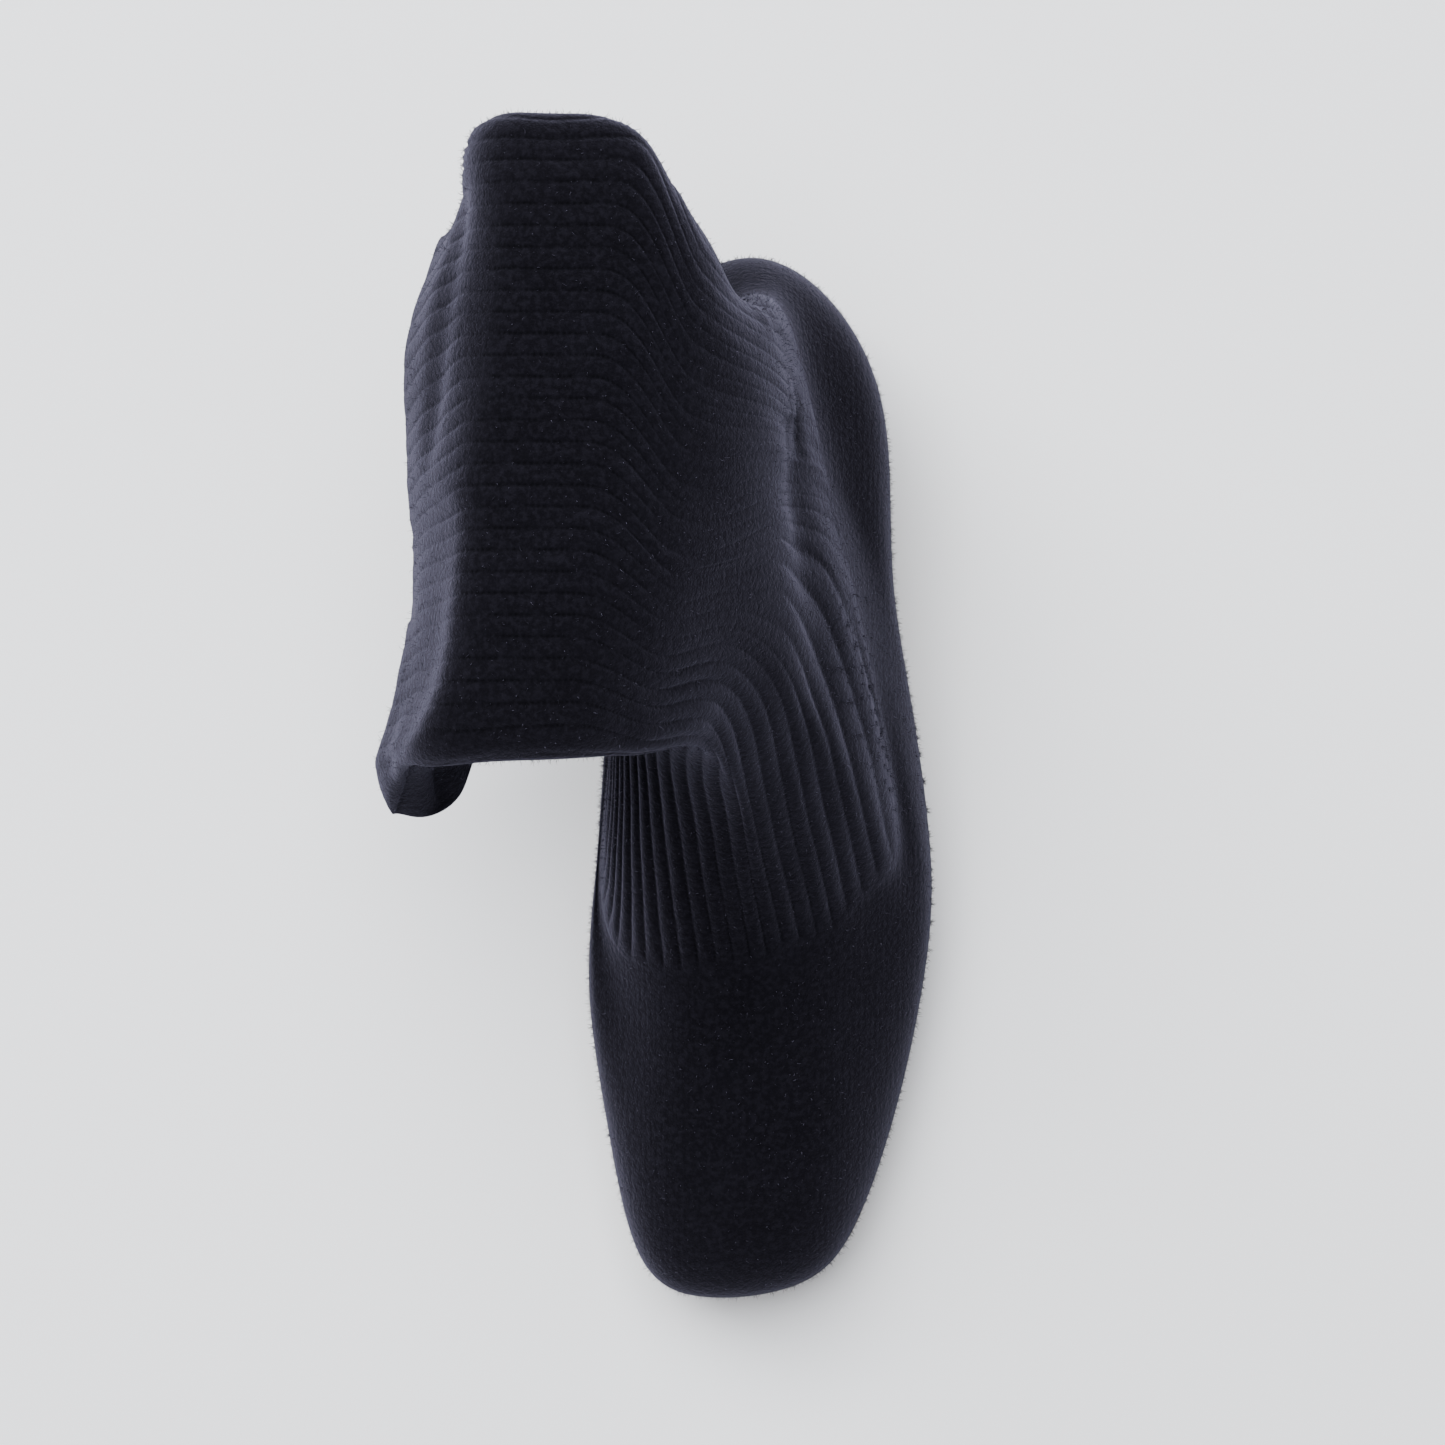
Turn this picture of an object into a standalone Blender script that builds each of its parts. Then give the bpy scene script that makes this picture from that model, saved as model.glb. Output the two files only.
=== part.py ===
"""A left sweater boot: a felted knit foot on a thin leather sole with a low heel, and a slumped ribbed shaft.

Metres, +Z up, toe towards -Y, inner side of the foot towards -X. The origin is under the middle of the heel.
Lines round the boot are counted in ribs of the knit: 0 is the heel's back, 16 the outer side, 32 the front.
"""

from collections import namedtuple
from math import pi

import bpy
import bmesh
import numpy as np
from mathutils import Vector

# Foot
FOOT_LENGTH = 0.2445
BALL_WIDTH = 0.0790
HEEL_BACK = 0.0245
QUARTER_HEIGHT = 0.0520
WALL = 0.0024
CLEARANCE = 0.0003

# How the foot's wall swells from the sole: the pulls on its curve, as shares of the swell and of its height
SWELL_OUT = 0.5
SWELL_START = 0.28
SWELL_END = 0.4

# Sole and heel
SOLE_THICKNESS = 0.0040
SOLE_MARGIN = 0.0018
SOLE_EDGE_STEP = 0.0006
SOLE_EDGE_LOW = 0.18
SOLE_EDGE_HIGH = 0.75
TOE_SPRING = 0.0075
TOE_CURVE = 1.8
HEEL_HEIGHT = 0.0200
HEEL_LENGTH = 0.0520
HEEL_TAPER = 0.0025
TOP_PIECE_THICKNESS = 0.0050
BREAST_HOLLOW = 0.0030
INSOLE_THICKNESS = 0.0022

# Shaft
RIBS = 64
SHAFT_WALL = 0.0026
SHAFT_WIDTH = 0.1400
SHAFT_RISE = 0.1150
SHAFT_LEAN = 0.0780
SHAFT_MIDDLE = -0.0200
BEND_PULL = 0.0560

# Mesh
AROUND = 72
RINGS_LOW = 2
RINGS_HIGH = 7
RINGS_SHAFT = 18
SECTION_STEPS = 600
HEEL_STEPS = 1024
HEEL_POINTS = 22
BREAST_POINTS = 5
RIB_STEP = 0.05

# Sole profile, as shares of FOOT_LENGTH from the back of the heel
TREAD_FRONT = 0.765
TREAD_BACK = 0.585
SEAT_FRONT = 0.215

# Where the foot's wall starts at the sole. along is a share of FOOT_LENGTH from the heel, side of BALL_WIDTH.
# out is how far the wall swells past that, as a share of BALL_WIDTH, and belly and rise are shares of
# QUARTER_HEIGHT: how high the widest line is, and how far the wall keeps upright above it.
Base = namedtuple("Base", "rib place along side out belly rise")
BASES = (
    Base(0.0, "heel back", 0.000, -0.030, 0.030, 0.42, 0.30),
    Base(4.0, "heel round, outer", 0.052, 0.235, 0.030, 0.42, 0.30),
    Base(9.0, "heel side, outer", 0.170, 0.362, 0.034, 0.36, 0.30),
    Base(14.0, "waist, outer", 0.320, 0.378, 0.042, 0.32, 0.30),
    Base(17.5, "joint, outer", 0.455, 0.455, 0.038, 0.30, 0.26),
    Base(20.0, "ball, outer", 0.585, 0.508, 0.034, 0.27, 0.26),
    Base(22.5, "little toe", 0.700, 0.489, 0.028, 0.24, 0.26),
    Base(25.0, "toe side, outer", 0.835, 0.408, 0.018, 0.20, 0.30),
    Base(27.2, "toe corner, outer", 0.945, 0.289, 0.010, 0.18, 0.34),
    Base(29.5, "toe, outer", 0.994, 0.130, 0.012, 0.18, 0.38),
    Base(32.5, "toe tip", 1.002, -0.160, 0.026, 0.18, 0.38),
    Base(35.2, "toe corner, inner", 0.962, -0.338, 0.028, 0.19, 0.34),
    Base(37.8, "big toe side", 0.840, -0.430, 0.028, 0.22, 0.30),
    Base(40.2, "ball, inner", 0.715, -0.480, 0.032, 0.26, 0.26),
    Base(43.0, "joint, inner", 0.600, -0.455, 0.040, 0.30, 0.26),
    Base(46.5, "arch front", 0.470, -0.385, 0.078, 0.42, 0.26),
    Base(50.5, "arch", 0.330, -0.335, 0.100, 0.50, 0.26),
    Base(56.0, "heel side, inner", 0.150, -0.375, 0.048, 0.42, 0.30),
    Base(60.5, "heel round, inner", 0.048, -0.285, 0.030, 0.42, 0.30),
)

# The seam between foot and ribs. along, side and height are shares of the same three sizes. reach is how far
# the wall below the seam keeps its slope, as a share of QUARTER_HEIGHT, and climb is the slope in degrees.
Seam = namedtuple("Seam", "rib place along side height reach climb")
SEAMS = (
    Seam(0.0, "heel back", 0.037, 0.005, 1.000, 0.22, 78.0),
    Seam(4.5, "heel quarter, outer", 0.100, 0.128, 0.960, 0.26, 72.0),
    Seam(11.4, "ankle, outer", 0.200, 0.200, 0.900, 0.30, 66.0),
    Seam(17.6, "quarter, outer", 0.306, 0.280, 0.850, 0.30, 62.0),
    Seam(19.8, "side, outer", 0.431, 0.368, 0.790, 0.24, 62.0),
    Seam(21.2, "throat corner, outer", 0.540, 0.428, 0.690, 0.18, 62.0),
    Seam(23.9, "throat bend, outer", 0.607, 0.335, 0.760, 0.26, 42.0),
    Seam(25.4, "throat round, outer", 0.634, 0.262, 0.800, 0.38, 32.0),
    Seam(27.0, "throat, outer", 0.650, 0.190, 0.835, 0.50, 22.0),
    Seam(30.6, "throat, middle", 0.672, 0.040, 0.900, 0.80, 15.0),
    Seam(34.0, "throat, inner", 0.684, -0.122, 0.905, 0.85, 14.0),
    Seam(37.4, "throat bend, inner", 0.684, -0.295, 0.800, 0.60, 22.0),
    Seam(40.4, "throat side, inner", 0.658, -0.432, 0.590, 0.24, 50.0),
    Seam(43.0, "throat corner, inner", 0.590, -0.474, 0.520, 0.14, 72.0),
    Seam(46.0, "side, inner", 0.450, -0.435, 0.680, 0.20, 74.0),
    Seam(51.0, "quarter, inner", 0.285, -0.365, 0.860, 0.26, 76.0),
    Seam(57.0, "ankle, inner", 0.155, -0.275, 0.940, 0.26, 78.0),
    Seam(61.0, "heel quarter, inner", 0.068, -0.150, 0.985, 0.24, 78.0),
)

# Sections of the slumped shaft, from the ankle to the collar. Each point is (lean, along, rise): shares of
# SHAFT_LEAN to the inner side, of SHAFT_WIDTH from the shaft's middle to the heel, and of SHAFT_RISE above
# the seat. crown and belly say how square the upper and the under wall are: 2 is an ellipse, more is squarer.
Section = namedtuple("Section", "place step crown belly back top front under")
SECTIONS = (
    Section("bend", 0.36, 2.1, 2.1,
            (0.06, 0.240, 0.700), (0.04, -0.020, 0.820), (0.16, -0.495, 0.640), (0.430, -0.140, 0.500)),
    Section("slope top", 0.48, 2.5, 2.2,
            (0.18, 0.310, 0.830), (0.22, 0.000, 0.930), (0.31, -0.495, 0.790), (0.470, -0.080, 0.630)),
    Section("over", 0.59, 2.7, 2.4,
            (0.33, 0.445, 0.890), (0.42, 0.010, 0.985), (0.48, -0.500, 0.880), (0.560, -0.040, 0.720)),
    Section("flat", 0.71, 2.8, 2.5,
            (0.57, 0.495, 0.910), (0.63, 0.010, 1.000), (0.72, -0.500, 0.895), (0.670, -0.020, 0.770)),
    Section("ridge", 0.83, 3.3, 2.8,
            (0.79, 0.455, 0.860), (0.83, 0.000, 0.955), (0.98, -0.500, 0.845), (0.730, -0.040, 0.710)),
    Section("skirt", 0.92, 3.2, 2.8,
            (0.84, 0.355, 0.740), (0.95, -0.050, 0.790), (1.02, -0.540, 0.700), (0.745, -0.080, 0.605)),
    Section("collar", 1.00, 3.6, 3.4,
            (0.90, 0.330, 0.640), (1.01, -0.120, 0.660), (1.05, -0.600, 0.580), (0.740, -0.140, 0.535)),
)


def blend(first, last, share):
    """The point or value that lies a share of the way from first to last."""
    return first + (last - first) * share


def ease(share):
    """A share that starts and ends softly."""
    share = np.clip(share, 0.0, 1.0)
    return share * share * (3.0 - 2.0 * share)


def spline(knots, values, at, period=None, start=None):
    """A smooth curve through values at knots, read at other places. It closes if period is given."""
    knots, values, at = np.asarray(knots, float), np.asarray(values, float), np.asarray(at, float)
    if period:
        knots, values = np.append(knots, knots[0] + period), np.concatenate([values, values[:1]])
        at = knots[0] + (at - knots[0]) % period
    count = len(knots)
    gaps = np.diff(knots)
    rises = np.diff(values, axis=0) / gaps.reshape([-1] + [1] * (values.ndim - 1))
    matrix, right = np.zeros((count, count)), np.zeros(values.shape)
    for i in range(1, count - 1):
        matrix[i, i - 1 : i + 2] = gaps[i - 1], 2.0 * (gaps[i - 1] + gaps[i]), gaps[i]
        right[i] = 6.0 * (rises[i] - rises[i - 1])
    if period:
        matrix[0, 0], matrix[0, -1] = 1.0, -1.0
        matrix[-1, 0], matrix[-1, 1] = 2.0 * gaps[0], gaps[0]
        matrix[-1, -2], matrix[-1, -1] = gaps[-1], 2.0 * gaps[-1]
        right[-1] = 6.0 * (rises[0] - rises[-1])
    else:
        matrix[0, 0] = matrix[-1, -1] = 1.0
        if start is not None:
            matrix[0, :2] = 2.0 * gaps[0], gaps[0]
            right[0] = 6.0 * (rises[0] - start)
    bends = np.linalg.solve(matrix, right.reshape(count, -1)).reshape(values.shape)
    span = np.clip(np.searchsorted(knots, at, side="right") - 1, 0, count - 2)
    shape = [-1] + [1] * (values.ndim - 1)
    gap = gaps[span].reshape(shape)
    after = (at - knots[span]).reshape(shape)
    before = gap - after
    cubes = (bends[span] * before**3 + bends[span + 1] * after**3) / (6.0 * gap)
    first = (values[span] / gap - bends[span] * gap / 6.0) * before
    return cubes + first + (values[span + 1] / gap - bends[span + 1] * gap / 6.0) * after


def unit(rows):
    """Each row made one long."""
    return rows / np.linalg.norm(rows, axis=-1, keepdims=True)


def seat_level():
    """The height of the sole's top under the heel."""
    return HEEL_HEIGHT + SOLE_THICKNESS


def sole_bottom(y):
    """The sole's underside: toe spring, flat tread, arch and flat seat."""
    along = (HEEL_BACK - np.asarray(y, float)) / FOOT_LENGTH
    toe = TOE_SPRING * np.clip((along - TREAD_FRONT) / (1.0 - TREAD_FRONT), 0.0, None) ** TOE_CURVE
    arch = HEEL_HEIGHT * ease((TREAD_BACK - along) / (TREAD_BACK - SEAT_FRONT))
    return toe + arch


def foot_point(along, side, height):
    """A point given by its shares, with its height above the sole's top."""
    y = HEEL_BACK - np.asarray(along) * FOOT_LENGTH
    z = sole_bottom(y) + SOLE_THICKNESS + np.asarray(height) * QUARTER_HEIGHT
    return np.stack([np.asarray(side) * BALL_WIDTH, y, z], axis=-1)


def around(table, column, ribs):
    """One column of a table, read smoothly all round."""
    return spline([row.rib for row in table], [getattr(row, column) for row in table], ribs, period=RIBS)


def outline(ribs, offset=0.0):
    """The wall's foot in plan, moved outwards by offset."""
    points = foot_point(around(BASES, "along", ribs), around(BASES, "side", ribs), 0.0)
    return points + outwards(ribs) * np.reshape(offset, [-1, 1])


def outwards(ribs):
    """The level direction out of the outline at each rib."""
    before, after = (
        foot_point(around(BASES, "along", at), around(BASES, "side", at), 0.0)
        for at in (ribs - RIB_STEP, ribs + RIB_STEP)
    )
    way = after - before
    return unit(np.stack([-way[:, 1], way[:, 0], np.zeros(len(way))], axis=-1))


def bezier(first, second, third, last, share):
    """A point of each cubic curve."""
    rest = 1.0 - share
    return first * rest**3 + second * 3 * rest**2 * share + third * 3 * rest * share**2 + last * share**3


def seam_line(ribs):
    """The seam loop."""
    return foot_point(*(around(SEAMS, column, ribs) for column in ("along", "side", "height")))


def section_points(section, ribs):
    """A closed flattened section, with its ribs at even distances."""
    back, top, front, under = (
        np.array([-lean * SHAFT_LEAN, SHAFT_MIDDLE + along * SHAFT_WIDTH, seat_level() + rise * SHAFT_RISE])
        for lean, along, rise in (section.back, section.top, section.front, section.under)
    )
    centre = (back + front) / 2.0
    line = unit(back - centre)
    turn = np.linspace(0.0, pi, SECTION_STEPS)
    share = (np.asarray(ribs, float) / RIBS) % 1.0
    found = np.zeros((len(share), 3))
    halves = ((0.0, top, section.crown), (0.5, under, section.belly))
    for start, side, power in halves:
        way = np.cos(turn) * (1.0 - 4.0 * start)
        way = np.sign(way) * np.abs(way) ** (2.0 / power)
        shift = np.dot(side - centre, line) * line
        curve = centre + np.outer(way, back - centre) + np.outer(np.sin(turn) ** 2, shift)
        curve = curve + np.outer(np.sin(turn) ** (2.0 / power), side - centre - shift)
        length = np.concatenate([[0.0], np.cumsum(np.linalg.norm(np.diff(curve, axis=0), axis=1))])
        here = (share >= start) & (share < start + 0.5)
        at = (share[here] - start) * 2.0 * length[-1]
        found[here] = np.stack([np.interp(at, length, curve[:, axis]) for axis in range(3)], axis=-1)
    return found


def seam_slope(ribs):
    """The direction in which the wall passes the seam."""
    seam = seam_line(ribs)
    side = outline(ribs, around(BASES, "out", ribs) * BALL_WIDTH)
    level = np.array([1.0, 1.0, 0.0])
    plan = unit((seam - side) * level) + unit((section_points(SECTIONS[0], ribs) - seam) * level)
    climb = np.radians(around(SEAMS, "climb", ribs))[:, None]
    return unit(plan) * np.cos(climb) + np.sin(climb) * [0.0, 0.0, 1.0]


def foot_ring(ribs, share, gap=0.0):
    """A ring of the foot's outer face: share 0 at the sole, 1 at the widest line, 2 at the seam."""
    base = outline(ribs) + [0.0, 0.0, CLEARANCE]
    belly = around(BASES, "belly", ribs)[:, None] * QUARTER_HEIGHT
    up = np.array([0.0, 0.0, 1.0])
    side = base + outwards(ribs) * around(BASES, "out", ribs)[:, None] * BALL_WIDTH + up * belly
    if share <= 1.0:
        low = blend(base, side, SWELL_OUT) - up * belly * SWELL_START
        return bezier(base, low, side - up * belly * SWELL_END, side, share)
    slope = seam_slope(ribs)
    seam = seam_line(ribs) - slope * gap
    rise = around(BASES, "rise", ribs)[:, None] * QUARTER_HEIGHT
    reach = around(SEAMS, "reach", ribs)[:, None] * QUARTER_HEIGHT
    return bezier(side, side + up * rise, seam - slope * reach, seam, share - 1.0)


def shaft_rings(ribs, shares, gap=0.0):
    """The shaft's outer face, from the seam (0) to the collar (1)."""
    slope = seam_slope(ribs)
    rings = [seam_line(ribs) + slope * gap] + [section_points(section, ribs) for section in SECTIONS]
    steps = [0.0] + [section.step for section in SECTIONS]
    return spline(steps, rings, shares, start=slope * BEND_PULL / SECTIONS[0].step)


def material(name, colour, roughness):
    """A plain material."""
    made = bpy.data.materials.new(name)
    made.use_nodes = True
    shader = made.node_tree.nodes["Principled BSDF"]
    shader.inputs["Base Color"].default_value = (*colour, 1.0)
    shader.inputs["Roughness"].default_value = roughness
    return made


def made_object(name, mesh_maker, finish):
    """An object from a bmesh, with its faces turned outwards."""
    bmesh.ops.recalc_face_normals(mesh_maker, faces=mesh_maker.faces)
    mesh = bpy.data.meshes.new(name)
    mesh_maker.to_mesh(mesh)
    mesh_maker.free()
    made = bpy.data.objects.new(name, mesh)
    bpy.context.scene.collection.objects.link(made)
    mesh.materials.append(finish)
    mesh.shade_smooth()
    return made


def add_rings(mesh_maker, rings):
    """Closed rings of points, joined by faces from each to the next."""
    loops = [[mesh_maker.verts.new(Vector(point)) for point in ring] for ring in rings]
    for lower, upper in zip(loops, loops[1:]):
        for i in range(len(lower)):
            j = (i + 1) % len(lower)
            mesh_maker.faces.new((lower[i], lower[j], upper[j], upper[i]))
    return loops


def close_across(mesh_maker, loop):
    """Fills a long loop with strips that run from side to side."""
    count = len(loop)
    for i in range(count // 2):
        corners = [loop[i], loop[i + 1], loop[(count - i - 1) % count], loop[(count - i) % count]]
        kept = [corner for k, corner in enumerate(corners) if corner not in corners[:k]]
        if len(kept) > 2:
            mesh_maker.faces.new(kept)


def shell(name, rings, wall, finish):
    """A hollow wall from its outer rings."""
    mesh_maker = bmesh.new()
    add_rings(mesh_maker, rings)
    made = made_object(name, mesh_maker, finish)
    thick = made.modifiers.new("Wall", "SOLIDIFY")
    thick.thickness = wall
    thick.offset = -1.0
    return made


def plate(name, rings, finish):
    """A closed solid from stacked rings."""
    mesh_maker = bmesh.new()
    loops = add_rings(mesh_maker, rings)
    close_across(mesh_maker, loops[0])
    close_across(mesh_maker, loops[-1])
    return made_object(name, mesh_maker, finish)


def all_ribs():
    """The places round the boot at which the solids have points."""
    return np.arange(AROUND) * RIBS / AROUND


def lifted(points, bottom_share, extra=0.0):
    """Points put on the sole: share 0 is its underside and 1 its top."""
    z = sole_bottom(points[:, 1]) + bottom_share * SOLE_THICKNESS + extra
    return np.column_stack([points[:, :2], z])


def build_outsole(finish):
    """The thin leather sole, with a step round the top of its edge."""
    ribs = all_ribs()
    edge, inset = outline(ribs, SOLE_MARGIN), outline(ribs, SOLE_MARGIN - SOLE_EDGE_STEP)
    levels = ((inset, 0.0), (edge, SOLE_EDGE_LOW), (edge, SOLE_EDGE_HIGH), (inset, 1.0))
    rings = [lifted(plan, share) for plan, share in levels]
    return plate("outsole", rings, finish)


def build_insole(finish):
    """The insole board, inside the foot's wall."""
    ribs = all_ribs()
    under = outline(ribs, -WALL - 2.0 * CLEARANCE)
    rings = [lifted(under, 1.0, CLEARANCE), lifted(under, 1.0, CLEARANCE + INSOLE_THICKNESS)]
    return plate("insole", rings, finish)


def heel_ring(offset, z, breast_shift=0.0):
    """A level ring round the heel, closed by a hollow breast."""
    breast = HEEL_BACK - HEEL_LENGTH + breast_shift
    ribs = np.linspace(0.0, RIBS, HEEL_STEPS, endpoint=False)
    plan = outline(ribs, offset)
    outer = plan[(ribs < RIBS / 2) & (plan[:, 1] > breast)]
    inner = plan[(ribs >= RIBS / 2) & (plan[:, 1] > breast)]
    run = np.concatenate([inner, outer])
    length = np.concatenate([[0.0], np.cumsum(np.linalg.norm(np.diff(run[:, :2], axis=0), axis=1))])
    at = np.linspace(0.0, length[-1], HEEL_POINTS)
    rim = np.stack([np.interp(at, length, run[:, axis]) for axis in range(2)], axis=-1)
    across = np.linspace(0.0, 1.0, BREAST_POINTS + 2)[1:-1]
    front = blend(rim[-1], rim[0], across[:, None])
    front[:, 1] += BREAST_HOLLOW * np.sin(pi * across)
    ring = np.concatenate([rim, front])
    return np.column_stack([ring, np.full(len(ring), z)])


def closed_level(name, rings, finish):
    """A closed solid whose first and last rings are each one flat face."""
    mesh_maker = bmesh.new()
    loops = add_rings(mesh_maker, rings)
    mesh_maker.faces.new(loops[0])
    mesh_maker.faces.new(loops[-1])
    return made_object(name, mesh_maker, finish)


def build_heel(finish):
    """The low block heel under the sole."""
    top = HEEL_HEIGHT - CLEARANCE
    bottom = TOP_PIECE_THICKNESS + CLEARANCE
    rings = [heel_ring(SOLE_MARGIN - HEEL_TAPER, bottom, HEEL_TAPER), heel_ring(SOLE_MARGIN, top)]
    return closed_level("heel", rings, finish)


def build_top_piece(finish):
    """The rubber piece that the heel stands on."""
    rings = [heel_ring(SOLE_MARGIN - HEEL_TAPER, z, HEEL_TAPER) for z in (0.0, TOP_PIECE_THICKNESS)]
    return closed_level("heel_top_piece", rings, finish)


def build_upper(finish):
    """The felted foot, open at the seam and underneath."""
    shares = [*np.linspace(0.0, 1.0, RINGS_LOW + 1), *np.linspace(1.0, 2.0, RINGS_HIGH + 1)[1:]]
    ribs = all_ribs()
    return shell("upper", [foot_ring(ribs, share, CLEARANCE / 2.0) for share in shares], WALL, finish)


def build_shaft(finish):
    """The ribbed shaft, from the seam to the open collar."""
    rings = shaft_rings(all_ribs(), np.linspace(0.0, 1.0, RINGS_SHAFT + 1), CLEARANCE / 2.0)
    return shell("shaft", rings, SHAFT_WALL, finish)


def main():
    """Builds the boot."""
    for old in list(bpy.data.objects):
        bpy.data.objects.remove(old)
    felt = material("felted knit", (0.012, 0.012, 0.020), 0.95)
    ribbed = material("ribbed knit", (0.014, 0.014, 0.023), 0.95)
    leather = material("sole leather", (0.46, 0.38, 0.28), 0.55)
    lining = material("insole leather", (0.05, 0.05, 0.06), 0.70)
    stacked = material("heel leather", (0.03, 0.03, 0.035), 0.50)
    rubber = material("heel rubber", (0.02, 0.02, 0.02), 0.70)
    build_outsole(leather)
    build_heel(stacked)
    build_top_piece(rubber)
    build_insole(lining)
    build_upper(felt)
    build_shaft(ribbed)


if __name__ == "__main__":
    main()
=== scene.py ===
"""The looks of a left sweater boot: a felted knit foot and a slumped rib knit shaft on a thin leather sole.

Metres, +Z up, toe towards -Y, inner side of the foot towards -X. The origin lies under the heel's middle.
Lines round the boot are counted in ribs of the knit: 0 is the back of the heel, 16 the outer side and 32 the
front. The form is worked out from the same named sizes and tables as the solids, with more points.
"""

from __future__ import annotations

import logging
from dataclasses import dataclass, field
from enum import Enum
from math import pi, radians
from typing import Any, NamedTuple, Sequence

import bmesh
import bpy
import numpy as np
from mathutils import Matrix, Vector

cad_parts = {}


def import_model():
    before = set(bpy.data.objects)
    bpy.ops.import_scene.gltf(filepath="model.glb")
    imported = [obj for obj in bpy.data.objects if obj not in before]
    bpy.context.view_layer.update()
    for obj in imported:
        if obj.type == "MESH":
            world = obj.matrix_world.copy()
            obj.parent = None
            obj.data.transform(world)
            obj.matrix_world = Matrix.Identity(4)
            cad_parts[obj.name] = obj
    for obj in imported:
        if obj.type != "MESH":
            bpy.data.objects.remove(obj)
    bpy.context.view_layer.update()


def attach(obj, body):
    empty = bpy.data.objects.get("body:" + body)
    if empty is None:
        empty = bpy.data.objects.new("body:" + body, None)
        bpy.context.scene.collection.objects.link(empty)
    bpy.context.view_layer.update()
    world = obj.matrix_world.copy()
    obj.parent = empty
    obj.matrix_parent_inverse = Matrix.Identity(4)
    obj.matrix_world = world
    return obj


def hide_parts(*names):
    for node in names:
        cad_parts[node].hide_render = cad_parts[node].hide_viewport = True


LOG = logging.getLogger("sweater_boot")
RIBS = 64
FOOT_FIBRES = 11500
SHAFT_FIBRES = 13500
RING_LENGTH = 0.001
RIM_ANGLE = radians(60.0)
EDGE_ANGLE = radians(40.0)
KNIT_MAP = "Knit"
# Point attribute that says how strong the painted shade in the grooves is.
GROOVE_SHADE_MARK = "groove"
EVEN = (1.0, 1.0, 1.0)
UP = np.array([0.0, 0.0, 1.0])
LEVEL = np.array([1.0, 1.0, 0.0])
Rows = np.ndarray
Span = tuple[float, float]
Place = tuple[float, float, float]
Colour = tuple[float, float, float]


class Slot(Enum):
    """The material slots."""

    FELT = "felted_knit"
    RIBBED = "ribbed_knit"
    SOLE = "sole_leather"
    INSOLE = "insole_leather"
    HEEL = "heel_leather"
    RUBBER = "heel_rubber"


class Crease(Enum):
    """What a fold does to the surface."""

    TROUGH = -1.0
    RIDGE = 1.0


class Base(NamedTuple):
    """A row of the line where the foot's wall meets the sole, in shares of the boot's sizes."""

    rib: float
    place: str
    along: float
    side: float
    out: float
    belly: float
    rise: float


class Seam(NamedTuple):
    """A row of the seam between foot and ribs. climb is in degrees, the rest in shares or ribs."""

    rib: float
    place: str
    along: float
    side: float
    height: float
    reach: float
    climb: float


class Section(NamedTuple):
    """A section of the slumped shaft. Points are (lean, along, rise) shares.

    crown and belly say how square it is on its top and its underside.
    """

    place: str
    step: float
    crown: float
    belly: float
    back: Place
    top: Place
    front: Place
    under: Place


class Fold(NamedTuple):
    """A soft crease along a line on a wall. Ribs and shares say where, depth and width are in metres."""

    place: str
    kind: Crease
    start: Span
    middle: Span
    end: Span
    depth: float
    width: float


class Zone(NamedTuple):
    """How deep the grooves between ribs are in one part of the shaft, which also sets how strong the painted
    shade in them is. Ribs and shares are its soft bounds.
    """

    place: str
    ribs: Span
    shares: Span
    soft: Span
    groove: float
    crown: float


class Wave(NamedTuple):
    """A gentle unevenness: two crossing waves, each with its pace round the boot and along the wall."""

    share: float
    rib: float
    run: float
    second_rib: float
    second_run: float
    shift: float


class Ledge(NamedTuple):
    """A ring of a flat piece: how far out it lies in metres, and its share of the thickness."""

    out: float
    share: float


class Lamp(NamedTuple):
    """A square soft light."""

    name: str
    place: Place
    size: float
    power: float


BASES = (
    Base(0.0, "heel back", 0.000, -0.030, 0.030, 0.42, 0.30),
    Base(4.0, "heel round, outer", 0.052, 0.235, 0.030, 0.42, 0.30),
    Base(9.0, "heel side, outer", 0.170, 0.362, 0.034, 0.36, 0.30),
    Base(14.0, "waist, outer", 0.320, 0.378, 0.042, 0.32, 0.30),
    Base(17.5, "joint, outer", 0.455, 0.455, 0.038, 0.30, 0.26),
    Base(20.0, "ball, outer", 0.585, 0.508, 0.034, 0.27, 0.26),
    Base(22.5, "little toe", 0.700, 0.489, 0.028, 0.24, 0.26),
    Base(25.0, "toe side, outer", 0.835, 0.408, 0.018, 0.20, 0.30),
    Base(27.2, "toe corner, outer", 0.945, 0.289, 0.010, 0.18, 0.34),
    Base(29.5, "toe, outer", 0.994, 0.130, 0.012, 0.18, 0.38),
    Base(32.5, "toe tip", 1.002, -0.160, 0.026, 0.18, 0.38),
    Base(35.2, "toe corner, inner", 0.962, -0.338, 0.028, 0.19, 0.34),
    Base(37.8, "big toe side", 0.840, -0.430, 0.028, 0.22, 0.30),
    Base(40.2, "ball, inner", 0.715, -0.480, 0.032, 0.26, 0.26),
    Base(43.0, "joint, inner", 0.600, -0.455, 0.040, 0.30, 0.26),
    Base(46.5, "arch front", 0.470, -0.385, 0.078, 0.42, 0.26),
    Base(50.5, "arch", 0.330, -0.335, 0.100, 0.50, 0.26),
    Base(56.0, "heel side, inner", 0.150, -0.375, 0.048, 0.42, 0.30),
    Base(60.5, "heel round, inner", 0.048, -0.285, 0.030, 0.42, 0.30),
)
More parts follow.
